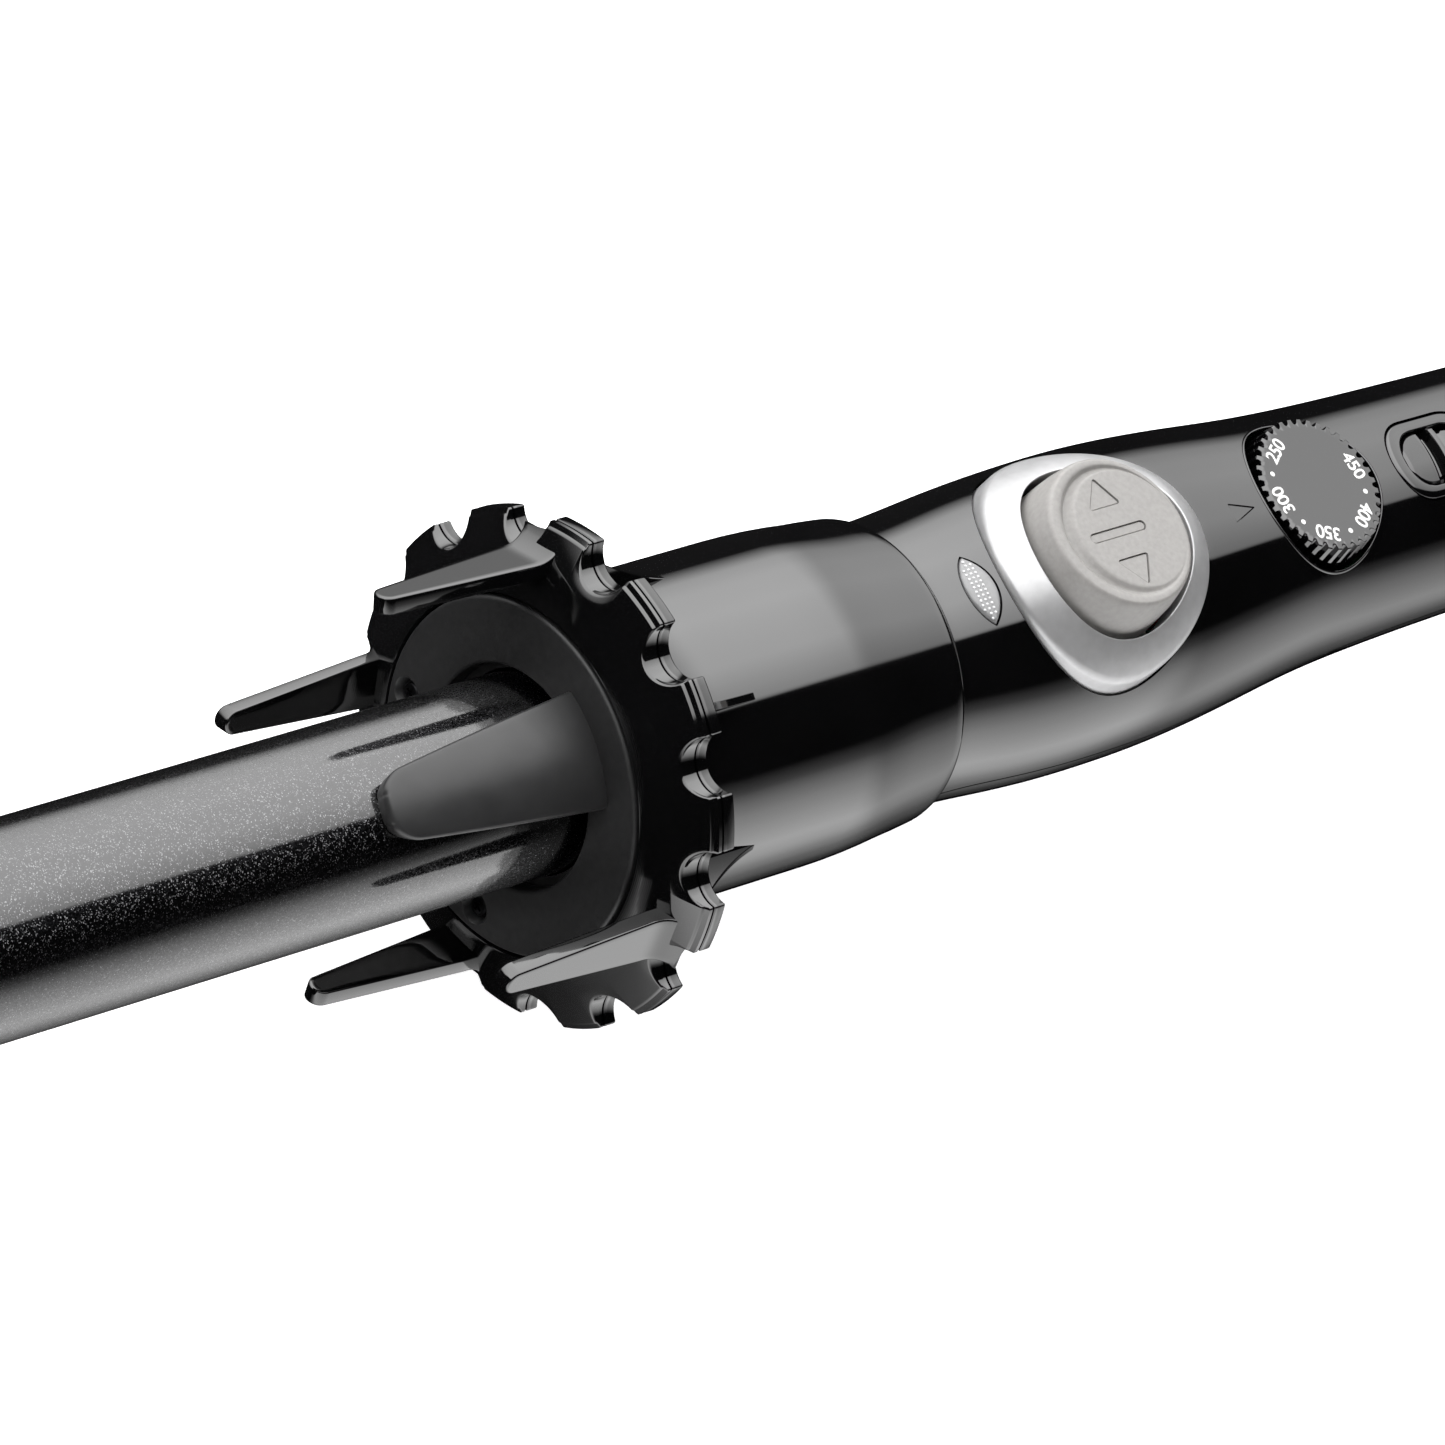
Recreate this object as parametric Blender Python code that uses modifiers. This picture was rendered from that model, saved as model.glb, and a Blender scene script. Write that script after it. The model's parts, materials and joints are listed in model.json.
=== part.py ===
"""Motorised curling wand, 365 mm long over its cord inlet, lying along X.

The origin is the centre of the cool tip's flat end face. +X runs down the wand to the rear end of
its handle, and +Z points out of the side that carries the controls. All sizes are in metres.
"""

from math import cos, pi, radians, sin, sqrt, tau

import bmesh
import bpy
from mathutils import Matrix, Vector

GAP = 0.0003  # left between two pieces that touch
AXIS_X = Vector((1, 0, 0))
AXIS_Z = Vector((0, 0, 1))

# Barrel and cool tip
BARREL_RADIUS = 0.0127
BARREL_WALL = 0.0012
BARREL_START = 0.0140
TIP_ROUND = 0.0035
TIP_SPIGOT_END = 0.0220
HOLDER_BORE = 0.0045

# Heater: two half-round cores that clamp a flat heating plate inside the barrel
CORE_START = 0.0300
CORE_END = 0.1240
CORE_HALF_GAP = 0.0015
HEATER_SIZE = (0.0900, 0.0160, 0.0024)
SENSOR_START = 0.1260
SENSOR_OFFSET = 0.0050
FUSE_LENGTH = 0.0110
FUSE_RADIUS = 0.0018
THERMISTOR_LENGTH = 0.0070
THERMISTOR_RADIUS = 0.0013
LEAD_RADIUS = 0.0008

# Fixed disc at the root of the barrel, with its guard finger
DISC = 0.1400  # station of the disc's front face
DISC_RADIUS = 0.0225
DISC_BORE = 0.0141
DISC_THICKNESS = 0.0026
DISC_EDGE = 0.0006
DISC_SCREW_RADIUS = 0.0193
DISC_SCREW_ANGLES = (119, 209)  # degrees from +Z towards +Y
DISC_HEAD_RADIUS = 0.0013
DISC_HEAD_TOP = 0.0005
DISC_HEAD_SEAT = 0.0014
DISC_SHANK_RADIUS = 0.0008
DISC_SHANK_END = 0.0048
FINGER_ANGLE = 344
FINGER_RADIUS = 0.0178
FINGER_THICKNESS = 0.0020
FINGER_LENGTH = 0.0305
FINGER_ROOT_WIDTH = 0.0156
FINGER_TIP_WIDTH = 0.0100

# Toothed dial that turns round the disc
TEETH = 14
TOOTH_PHASE = 36.5  # degrees from +Z towards +Y
DIAL_STEPS = 4 * TEETH
RING_BORE = 0.0229
RING_RADIUS = 0.0324
RING_FRONT_RADIUS = 0.0318
RING_FRONT = 0.0040
RING_RIM = 0.0046
RING_BACK = 0.0052
FLANGE_BACK = 0.0072
NOTCH_RADIUS = 0.00365
NOTCH_CENTRE = 0.03215
PRONG_ANGLES = (43.5, 126, 204, 287)
PRONG_LENGTH = 0.0225
PRONG_ROOT = 0.0045
PRONG_BOTTOM = 0.0264
PRONG_TOP = 0.0287
PRONG_TIP_WIDTH = 0.0036
PRONG_ROOT_WIDTH = 0.0064
GUSSET_ANGLES = (345, 41, 290, 165, 109, 221)
GUSSET_END = 0.0260
GUSSET_RADIUS = 0.0285
GUSSET_THICKNESS = 0.0010
SLEEVE_RADIUS = 0.0210
SLEEVE_BORE = 0.0188
SLEEVE_END = 0.0583
BUSH_STARTS = (0.0095, 0.0340)
BUSH_LENGTH = 0.0050

# Drive: an internal gear in the sleeve, and a pinion on the geared motor's offset shaft
GEAR_MODULE = 0.0010
RING_TEETH = 32
PINION_TEETH = 12
GEAR_START = 0.0448
GEAR_END = 0.0498
RING_PITCH_RADIUS = GEAR_MODULE * RING_TEETH / 2
PINION_PITCH_RADIUS = GEAR_MODULE * PINION_TEETH / 2
SHAFT_OFFSET = RING_PITCH_RADIUS - PINION_PITCH_RADIUS
SHAFT_RADIUS = 0.0015
MOTOR_START = DISC + 0.0215
GEARBOX_START = DISC + 0.0360
GEARBOX_END = DISC + 0.0430
MOTOR_RADIUS = 0.0098
LEAD_CHANNEL = (0.0040, 0.0112)  # half spacing and height of the leads over the gearbox

# Support tube that carries the barrel and the disc through the turning dial
TUBE_BORE = BARREL_RADIUS + GAP
TUBE_RADIUS = 0.0147
TUBE_FLANGE_RADIUS = 0.0217
TUBE_FLANGE_BACK = 0.0049
TUBE_END = 0.0640

# Handle: round, bulged behind the dial, its centre line rising towards the rear
HANDLE_FRONT = 0.0530
HANDLE_END = 0.3550
HANDLE_WALL = 0.0020
HANDLE_REAR_WALL = 0.0035
COLLAR_END = DISC + 0.0595
HANDLE_RISE = 0.0030
RISE_START = 0.0680
RISE_END = 0.1280
HANDLE_PROFILE = (  # distance behind the disc's face, radius
    (0.0530, 0.0183),
    (0.0640, 0.0183),
    (0.0730, 0.0189),
    (0.0810, 0.0194),
    (0.0890, 0.0196),
    (0.0980, 0.0195),
    (0.1060, 0.0190),
    (0.1150, 0.0181),
    (0.1250, 0.0170),
    (0.1350, 0.0163),
    (0.1550, 0.0156),
    (0.1850, 0.0149),
    (0.2070, 0.0142),
    (0.2150, 0.0120),
)

# Direction rocker, its bezel and its switches
ROCKER = DISC + 0.0865
BEZEL_RADIUS = 0.0160
BEZEL_PROUD = 0.0006
SKIRT_RADIUS = 0.0124
ROCKER_TOP_RADIUS = 0.0106
ROCKER_PAD_RADIUS = 0.0082
ROCKER_SHOULDER = 0.0236
ROCKER_TOP = 0.0248
ROCKER_PIVOT = 0.0155
ROCKER_BASE = 0.0175
ROCKER_PIN_RADIUS = 0.0010
ROCKER_PIN_HALF = 0.0092
CARRIER_SIZE = (0.0220, 0.0230, 0.0016)
CARRIER_HEIGHT = 0.0078
PIN_POST_OFFSET = 0.0078
PIN_POST_TOP = 0.0171
BUTTON_SWITCH_OFFSET = 0.0075
BUTTON_SWITCH_SIDE = 0.0060
BUTTON_SWITCH_TOP = 0.0130
PLUNGER_RADIUS = 0.0014
PLUNGER_TOP = 0.0152

# Indicator lens
LENS = DISC + 0.0667
LENS_LENGTH = 0.0104
LENS_WIDTH = 0.0046
LED_RADIUS = 0.0015

# Temperature dial
DIAL = DISC + 0.1259
DIAL_RADIUS = 0.0103
DIAL_TOP = 0.0202
DIAL_BASE = 0.0138
DIAL_RIBS = 38
RIB_DEPTH = 0.0009
DIAL_TAPER = 0.0008
DIAL_SHAFT_RADIUS = 0.0030
DIAL_SHAFT_TOP = 0.0178
POT_SIDE = 0.0160
POT_HEIGHT = 0.0060
POT_TOP = 0.0085

# Power rocker
POWER = DISC + 0.1497
POWER_LENGTH = 0.0178
POWER_WIDTH = 0.0112
POWER_OPENING_LENGTH = 0.0132
POWER_OPENING_WIDTH = 0.0080
POWER_PIVOT = 0.0160
POWER_ROCKER_HEIGHT = 0.0036
POWER_ROCKER_PLAY = 0.0004
SWITCH_BODY_SIZE = (0.0120, 0.0090, 0.0096)
SWITCH_BODY_HEIGHT = 0.0081

# Circuit board behind the controls
BOARD_START = DISC + 0.1030
BOARD_END = DISC + 0.1740
BOARD_WIDTH = 0.0230
BOARD_THICKNESS = 0.0016
BOARD_HEIGHT = 0.0010
RELAY_SIZE = (0.0120, 0.0100, 0.0080)

# Fasteners of the handle and the swivelling cord inlet
HANDLE_SCREWS = (DISC + 0.1095, DISC + 0.1650, DISC + 0.1980)
SCREW_HEAD_RADIUS = 0.0025
SCREW_SHANK_RADIUS = 0.0013
SCREW_HEAD_HEIGHT = 0.0018
SCREW_HEAD_DEPTH = 0.0090
SCREW_REACH = 0.0050
BOSS_RADIUS = 0.0034
SWIVEL_RADIUS = 0.0075
SWIVEL_COLLAR_RADIUS = 0.0097
SWIVEL_INSIDE = 0.0080
SWIVEL_REACH = 0.0100
SWIVEL_TIP_RADIUS = 0.0052
CORD_HOLE_RADIUS = 0.0034


# ---------------------------------------------------------------- scene and materials


def clear_scene():
    for thing in list(bpy.data.objects):
        bpy.data.objects.remove(thing)


def new_collection(name):
    made = bpy.data.collections.new(name)
    bpy.context.scene.collection.children.link(made)
    return made


def finish(name, colour, roughness, metallic=0.0):
    look = bpy.data.materials.new(name)
    look.use_nodes = True
    shader = look.node_tree.nodes["Principled BSDF"]
    shader.inputs["Base Color"].default_value = (*colour, 1)
    shader.inputs["Roughness"].default_value = roughness
    shader.inputs["Metallic"].default_value = metallic
    look.diffuse_color = (*colour, 1)
    return look


clear_scene()
PARTS = new_collection("curling_wand")
CUTTERS = new_collection("cutters")

GLOSS_BLACK = finish("gloss_black", (0.012, 0.012, 0.013), 0.08)
MATTE_BLACK = finish("matte_black", (0.016, 0.016, 0.017), 0.55)
GLITTER_BLACK = finish("glitter_black", (0.03, 0.03, 0.04), 0.3, 0.3)
SATIN_SILVER = finish("satin_silver", (0.42, 0.42, 0.43), 0.35, 0.7)
SATIN_CHROME = finish("satin_chrome", (0.62, 0.62, 0.64), 0.22, 1.0)
CLEAR = finish("clear_lens", (0.8, 0.8, 0.8), 0.2)
BRASS = finish("brass", (0.62, 0.46, 0.2), 0.35, 1.0)
STEEL = finish("steel", (0.55, 0.55, 0.56), 0.35, 1.0)
ALUMINIUM = finish("aluminium", (0.7, 0.7, 0.72), 0.4, 1.0)
CERAMIC = finish("ceramic", (0.75, 0.72, 0.66), 0.6)
NATURAL_PLASTIC = finish("natural_plastic", (0.7, 0.68, 0.6), 0.5)
BOARD_GREEN = finish("board_green", (0.02, 0.12, 0.05), 0.45)
LEAD_RED = finish("lead_red", (0.35, 0.03, 0.03), 0.5)


# ---------------------------------------------------------------- shape tools


def place(name, mesh, look=None):
    """Links a mesh as a part, or as a hidden cutter if it has no material."""
    body = bpy.data.objects.new(name, mesh)
    if look is None:
        CUTTERS.objects.link(body)
        body.hide_render = True
        body.display_type = "WIRE"
    else:
        PARTS.objects.link(body)
        mesh.materials.append(look)
    return body


def mesh_from(name, form):
    mesh = bpy.data.meshes.new(name)
    form.to_mesh(mesh)
    form.free()
    return mesh


def bake(body):
    """Turns a body's modifiers and its placement into its mesh."""
    bpy.context.view_layer.update()
    graph = bpy.context.evaluated_depsgraph_get()
    mesh = bpy.data.meshes.new_from_object(body.evaluated_get(graph))
    mesh.transform(body.matrix_world)
    body.modifiers.clear()
    body.data = mesh
    body.matrix_world = Matrix.Identity(4)
    return body


def smooth(body, angle=35):
    body.data.shade_smooth()
    body.data.set_sharp_from_angle(angle=radians(angle))
    return body


def turned(name, profile, look=None, steps=36):
    """A body turned about the wand's axis.

    The profile's points are (station, radius): the outer side from rear to front, and then the
    bore from front to rear if the body has one.
    """
    mesh = bpy.data.meshes.new(name)
    points = [(radius, 0, station) for station, radius in profile]
    edges = [(i, i + 1) for i in range(len(points) - 1)]
    if all(radius > 0 for _, radius in profile):
        edges.append((len(points) - 1, 0))
    mesh.from_pydata(points, edges, [])
    body = place(name, mesh, look)
    body.rotation_euler = (0, pi / 2, 0)
    screw = body.modifiers.new("Turn", "SCREW")
    screw.steps = steps
    screw.render_steps = steps
    screw.use_merge_vertices = True
    screw.merge_threshold = 0.00001
    screw.use_smooth_shade = True
    return smooth(bake(body))


def tube(name, start, end, bore, radius, look=None, steps=36):
    return turned(name, [(end, radius), (start, radius), (start, bore), (end, bore)], look, steps)


def rod(name, start, end, radius, look=None, tip_radius=None, segments=16):
    """A round bar between two points, tapered if a tip radius is given."""
    start, end = Vector(start), Vector(end)
    along = end - start
    turn = along.to_track_quat("Z", "Y").to_matrix().to_4x4()
    form = bmesh.new()
    bmesh.ops.create_cone(
        form,
        cap_ends=True,
        segments=segments,
        radius1=radius,
        radius2=radius if tip_radius is None else tip_radius,
        depth=along.length,
        matrix=Matrix.Translation((start + end) / 2) @ turn,
    )
    return smooth(place(name, mesh_from(name, form), look))


def upright_rod(name, station, bottom, top, radius, look=None, tip_radius=None, segments=16):
    """A round bar square to the wand on its middle plane, between two heights."""
    return rod(name, (station, 0, bottom), (station, 0, top), radius, look, tip_radius, segments)


def block(name, size, centre, look=None):
    form = bmesh.new()
    matrix = Matrix.Translation(centre) @ Matrix.Diagonal((*size, 1))
    bmesh.ops.create_cube(form, size=1, matrix=matrix)
    return place(name, mesh_from(name, form), look)


def add_bevel(body, width, segments=2, angle=30):
    rounding = body.modifiers.new("Rounded edges", "BEVEL")
    rounding.width = width
    rounding.segments = segments
    rounding.limit_method = "ANGLE"
    rounding.angle_limit = radians(angle)
    return body


def plate(name, outlines, thickness, matrix, look=None):
    """A flat plate from closed outlines in its own XY plane, centred on that plane."""
    curve = bpy.data.curves.new(name, "CURVE")
    curve.dimensions = "2D"
    curve.fill_mode = "BOTH"
    curve.extrude = thickness / 2
    for outline in outlines:
        spline = curve.splines.new("POLY")
        spline.points.add(len(outline) - 1)
        for point, (x, y) in zip(spline.points, outline):
            point.co = (x, y, 0, 1)
        spline.use_cyclic_u = True
    guide = bpy.data.objects.new(name + "_outline", curve)
    CUTTERS.objects.link(guide)
    bpy.context.view_layer.update()
    graph = bpy.context.evaluated_depsgraph_get()
    mesh = bpy.data.meshes.new_from_object(guide.evaluated_get(graph))
    bpy.data.objects.remove(guide)
    form = bmesh.new()
    form.from_mesh(mesh)
    bmesh.ops.remove_doubles(form, verts=form.verts, dist=0.00001)
    bmesh.ops.recalc_face_normals(form, faces=form.faces)
    form.transform(matrix)
    return place(name, mesh_from(name, form), look)


def across(station):
    """The plane square to the wand at a station: a plate's X is world Y, and its Y is world Z."""
    return Matrix((
        (0, 0, 1, station),
        (1, 0, 0, 0),
        (0, 1, 0, 0),
        (0, 0, 0, 1),
    ))


def boolean(body, other, operation):
    step = body.modifiers.new(operation.title() + " " + other.name, "BOOLEAN")
    step.operation = operation
    step.solver = "EXACT"
    step.object = other
    return body


def cut(body, *cutters):
    for cutter in cutters:
        boolean(body, cutter, "DIFFERENCE")
    return body


def join(body, *others):
    for other in others:
        boolean(body, other, "UNION")
    return body


def keep(body, other):
    return boolean(body, other, "INTERSECT")


def arc(radius, start, end, count, centre=(0, 0)):
    """Points along an arc in a plane, from one angle to another in degrees."""
    angles = [radians(start + (end - start) * i / (count - 1)) for i in range(count)]
    return [(centre[0] + radius * cos(a), centre[1] + radius * sin(a)) for a in angles]


def circle(radius, count, centre=(0, 0)):
    return arc(radius, 0, 360 * (1 - 1 / count), count, centre)


def oval(length, width, count=12):
    """A slot outline with round ends, long along X."""
    middle = (length - width) / 2
    right = arc(width / 2, -90, 90, count, (middle, 0))
    left = arc(width / 2, 90, 270, count, (-middle, 0))
    return right + left


def spoke(degrees):
    """The direction square to the wand at an angle from +Z towards +Y."""
    return Vector((0, sin(radians(degrees)), cos(radians(degrees))))


def on_axis(name, location, *bodies):
    """Hangs bodies on an empty that stands on their joint's axis."""
    axis = bpy.data.objects.new(name, None)
    axis.empty_display_size = 0.01
    axis.location = location
    PARTS.objects.link(axis)
    bpy.context.view_layer.update()
    for body in bodies:
        body.parent = axis
        body.matrix_parent_inverse = axis.matrix_world.inverted()
    return axis


# ---------------------------------------------------------------- handle form


def rise(station):
    """How far the handle's centre line stands above the barrel's axis."""
    share = (station - DISC - RISE_START) / (RISE_END - RISE_START)
    share = min(max(share, 0), 1)
    return HANDLE_RISE * share * share * (3 - 2 * share)


def handle_radius(station):
    """Outer radius of the handle, a straight run between the profile's points."""
    offset = station - DISC
    for (x0, r0), (x1, r1) in zip(HANDLE_PROFILE, HANDLE_PROFILE[1:]):
        if offset <= x1:
            return r0 + (r1 - r0) * max(offset - x0, 0) / (x1 - x0)
    return HANDLE_PROFILE[-1][1]


def slice_at(body, stations):
    """Adds edges square to the wand, so that the seam can follow the curved centre line."""
    form = bmesh.new()
    form.from_mesh(body.data)
    for station in stations:
        everything = form.verts[:] + form.edges[:] + form.faces[:]
        bmesh.ops.bisect_plane(
            form, geom=everything, dist=0.000001, plane_co=(station, 0, 0), plane_no=AXIS_X
        )
    form.to_mesh(body.data)
    form.free()
    return body


def follow_rise(body):
    for vertex in body.data.vertices:
        vertex.co.z += rise(vertex.co.x)
    return body


def handle_skin(name, inset_out, inset_in, start, end, look=None, steps=48):
    """A sleeve concentric with the handle's surface, between two depths below it."""
    inner = [x for x, _ in HANDLE_PROFILE if start < DISC + x < end]
    stations = [start] + [DISC + x for x in inner] + [end]
    outer_side = [(x, handle_radius(x) - inset_out) for x in reversed(stations)]
    inner_side = [(x, handle_radius(x) - inset_in) for x in stations]
    return follow_rise(turned(name, outer_side + inner_side, look, steps))


# ---------------------------------------------------------------- barrel and heater


def make_barrel():
    bore = BARREL_RADIUS - BARREL_WALL
    tube("barrel_tube", BARREL_START, DISC + 0.008, bore, BARREL_RADIUS, GLITTER_BLACK)

    corner = arc(TIP_ROUND, 90, 180, 4, (TIP_ROUND, BARREL_RADIUS - TIP_ROUND))
    front = BARREL_START - GAP
    spigot = bore - GAP
    tip = [(TIP_SPIGOT_END, 0), (TIP_SPIGOT_END, spigot), (front, spigot), (front, BARREL_RADIUS)]
    turned("cool_tip", tip + corner + [(0, 0)], MATTE_BLACK)

    holder_profile = [
        (DISC + 0.0120, BARREL_RADIUS),
        (DISC + 0.0083, BARREL_RADIUS),
        (DISC + 0.0083, spigot),
        (DISC, spigot),
        (DISC, HOLDER_BORE),
        (DISC + 0.0120, HOLDER_BORE),
    ]
    turned("barrel_holder", holder_profile, CERAMIC, 32)


def make_heater():
    core_radius = BARREL_RADIUS - BARREL_WALL - GAP
    flat = sqrt(core_radius**2 - CORE_HALF_GAP**2)
    outline = [(flat, CORE_HALF_GAP)]
    outline += arc(core_radius, 12, 168, 14)
    outline += [(-flat, CORE_HALF_GAP)]
    mirrored = [(-x, -y) for x, y in outline]
    middle = across((CORE_START + CORE_END) / 2)
    plate("heater_core_upper", [outline], CORE_END - CORE_START, middle, ALUMINIUM)
    plate("heater_core_lower", [mirrored], CORE_END - CORE_START, middle, ALUMINIUM)
    block("ptc_heater", HEATER_SIZE, ((CORE_START + CORE_END) / 2, 0, 0), CERAMIC)
    fuse = Vector((SENSOR_START, SENSOR_OFFSET, 0))
    rod("thermal_fuse", fuse, fuse + AXIS_X * FUSE_LENGTH, FUSE_RADIUS, STEEL)
    sensor = Vector((SENSOR_START, -SENSOR_OFFSET, 0))
    rod("thermistor", sensor, sensor + AXIS_X * THERMISTOR_LENGTH, THERMISTOR_RADIUS, CERAMIC)


# ---------------------------------------------------------------- fixed disc and guard finger


def finger_body(name, grow, root_end, look=None):
    """The arched finger: a tapered outline taken out of a turned shell over the barrel."""
    outer = FINGER_RADIUS + grow
    inner = FINGER_RADIUS - FINGER_THICKNESS - grow
    shell = [
        (DISC + root_end, outer),
        (DISC - 0.0010, outer),
        (DISC - 0.0220, outer - 0.0008),
        (DISC - 0.0275, outer - 0.0017),
        (DISC - FINGER_LENGTH - grow, outer - 0.0032),
        (DISC - FINGER_LENGTH - grow, inner - 0.0022),
        (DISC - 0.0275, inner - 0.0015),
        (DISC - 0.0010, inner),
        (DISC + root_end, inner),
    ]
    body = turned(name, shell, look)
    root = FINGER_ROOT_WIDTH / 2 + grow
    tip = FINGER_TIP_WIDTH / 2 + grow
    start = DISC + 0.0100
    round_centre = DISC - FINGER_LENGTH + tip - grow
    outline = [(start, -root), (start, root), (DISC, root)]
    outline += arc(tip, 90, 270, 11, (round_centre, 0))
    outline += [(DISC, -root)]
    turn = Matrix.Rotation(-radians(FINGER_ANGLE), 4, AXIS_X)
    mask = plate(name + "_outline", [outline], 0.0200, turn @ Matrix.Translation((0, 0, 0.0200)))
    return bake(keep(body, mask))


def make_disc():
    back = DISC + DISC_THICKNESS
    profile = [
        (back, DISC_RADIUS),
        (DISC + DISC_EDGE, DISC_RADIUS),
        (DISC, DISC_RADIUS - DISC_EDGE),
        (DISC, DISC_BORE + DISC_EDGE),
        (DISC + DISC_EDGE, DISC_BORE),
        (back, DISC_BORE),
    ]
    disc = turned("front_disc", profile, MATTE_BLACK)
    cut(disc, finger_body("finger_slot", GAP, 0.0060))
    finger_body("guard_finger", 0, DISC_THICKNESS - GAP, MATTE_BLACK)

    tube_profile = [
        (DISC + TUBE_END, TUBE_RADIUS),
        (DISC + TUBE_FLANGE_BACK, TUBE_RADIUS),
        (DISC + TUBE_FLANGE_BACK, TUBE_FLANGE_RADIUS),
        (back + GAP, TUBE_FLANGE_RADIUS),
        (back + GAP, TUBE_BORE),
        (DISC + TUBE_END, TUBE_BORE),
    ]
    support = turned("support_tube", tube_profile, NATURAL_PLASTIC)
    window_length = GEAR_END - GEAR_START + 0.0030
    window_middle = DISC + (GEAR_START + GEAR_END) / 2
    window = block("pinion_window", (window_length, 0.0160, 0.0120), (window_middle, 0, -0.0120))
    cut(support, window)
    for number, angle in enumerate(DISC_SCREW_ANGLES, 1):
        centre = spoke(angle) * DISC_SCREW_RADIUS
        front = centre + AXIS_X * DISC
        outside = front - AXIS_X * 0.001
        seat = front + AXIS_X * DISC_HEAD_SEAT
        recess = rod(f"recess_{number}", outside, seat, DISC_HEAD_RADIUS + GAP)
        through_radius = DISC_SHANK_RADIUS + GAP
        through = rod(f"screw_way_{number}", outside, front + AXIS_X * 0.008, through_radius)
        cut(disc, recess, through)
        cut(support, through)
        head = front + AXIS_X * DISC_HEAD_TOP
        screw = rod(f"disc_screw_{number}", head, seat - AXIS_X * GAP, DISC_HEAD_RADIUS, STEEL)
        shank_end = front + AXIS_X * DISC_SHANK_END
        shank = rod(f"disc_shank_{number}", head, shank_end, DISC_SHANK_RADIUS, segments=12)
        join(screw, shank)


# ---------------------------------------------------------------- turning dial


def notch_cutter():
    """Round scallops between the teeth."""
    form = bmesh.new()
    turn = AXIS_X.to_track_quat("Z", "Y").to_matrix().to_4x4()
    for tooth in range(TEETH):
        angle = TOOTH_PHASE + (tooth + 0.5) * 360 / TEETH
        centre = spoke(angle) * NOTCH_CENTRE + AXIS_X * (DISC + 0.006)
        bmesh.ops.create_cone(
            form,
            cap_ends=True,
            segments=14,
            radius1=NOTCH_RADIUS,
            radius2=NOTCH_RADIUS,
            depth=0.020,
            matrix=Matrix.Translation(centre) @ turn,
        )
    return place("notches", mesh_from("notches", form))


def prong(number, angle):
    """A tapered prong that stands on the ring's face and points along the barrel."""
    form = bmesh.new()
    bmesh.ops.create_cube(form, size=2)
    for corner in form.verts:
        at_root = corner.co.x > 0
        corner.co.x = DISC + (PRONG_ROOT if at_root else -PRONG_LENGTH)
        corner.co.y *= (PRONG_ROOT_WIDTH if at_root else PRONG_TIP_WIDTH) / 2
        corner.co.z = PRONG_TOP if corner.co.z > 0 else PRONG_BOTTOM
    form.transform(Matrix.Rotation(-radians(angle), 4, AXIS_X))
    body = place(f"prong_{number}", mesh_from(f"prong_{number}", form))
    return add_bevel(body, 0.0006, 1)


def make_dial(notches):
    front_profile = [
        (DISC + RING_BACK, RING_RADIUS),
        (DISC + RING_RIM, RING_RADIUS),
        (DISC + RING_FRONT, RING_FRONT_RADIUS),
        (DISC + GAP, RING_BORE + 0.0002),
        (DISC + 0.0006, RING_BORE),
        (DISC + RING_BACK, RING_BORE),
    ]
    ring = turned("dial_front_ring", front_profile, GLOSS_BLACK, DIAL_STEPS)
    cut(ring, notches)
    for number, angle in enumerate(PRONG_ANGLES, 1):
        join(ring, prong(number, angle))

    start = DISC + RING_BACK + GAP
    sleeve_profile = [
        (DISC + SLEEVE_END, SLEEVE_RADIUS - 0.0015),
        (DISC + 0.0578, SLEEVE_RADIUS - 0.0012),
        (DISC + 0.0555, SLEEVE_RADIUS - 0.0010),
        (DISC + 0.0490, SLEEVE_RADIUS - 0.0004),
        (DISC + 0.0400, SLEEVE_RADIUS),
        (DISC + FLANGE_BACK, SLEEVE_RADIUS),
        (DISC + FLANGE_BACK, RING_RADIUS),
        (start, RING_RADIUS),
        (start, SLEEVE_BORE),
        (DISC + SLEEVE_END, SLEEVE_BORE),
    ]
    sleeve = turned("dial_sleeve", sleeve_profile, GLOSS_BLACK, DIAL_STEPS)
    cut(sleeve, notches)
    for number, angle in enumerate(GUSSET_ANGLES, 1):
        join(sleeve, gusset(number, angle))

    middle = across(DISC + (GEAR_START + GEAR_END) / 2)
    width = GEAR_END - GEAR_START
    pitch = 360 / RING_TEETH
    root = RING_PITCH_RADIUS + 0.0011
    tip = RING_PITCH_RADIUS - 0.0006
    teeth = gear_outline(RING_TEETH, root, tip, 0.56, 0.22, -90 + pitch / 2)
    gear = plate("ring_gear", [circle(SLEEVE_BORE - GAP, 64), teeth], width, middle, BRASS)
    on_axis("curl_dial_axis", (DISC, 0, 0), ring, sleeve, gear)

    inner, outer = TUBE_RADIUS + GAP, SLEEVE_BORE - GAP
    for name, begin in zip(("front_bush", "rear_bush"), BUSH_STARTS):
        end = begin + BUSH_LENGTH
        tube(name, DISC + begin, DISC + end, inner, outer, NATURAL_PLASTIC)


def gusset(number, angle):
    """A thin web with a hollow edge between the flange and the sleeve."""
    foot = SLEEVE_RADIUS - 0.0006
    length = GUSSET_END - FLANGE_BACK
    height = GUSSET_RADIUS - foot
    outline = [(FLANGE_BACK - 0.0004, foot), (FLANGE_BACK - 0.0004, GUSSET_RADIUS)]
    steps = 5
    for i in range(steps + 1):
        share = i / steps
        outline.append((FLANGE_BACK + length * share, foot + height * (1 - share) ** 2.2))
    name = f"gusset_{number}"
    upright = Matrix(((1, 0, 0, DISC), (0, 0, -1, 0), (0, 1, 0, 0), (0, 0, 0, 1)))
    turn = Matrix.Rotation(-radians(angle), 4, AXIS_X)
    return plate(name, [outline], GUSSET_THICKNESS, turn @ upright)


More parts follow.
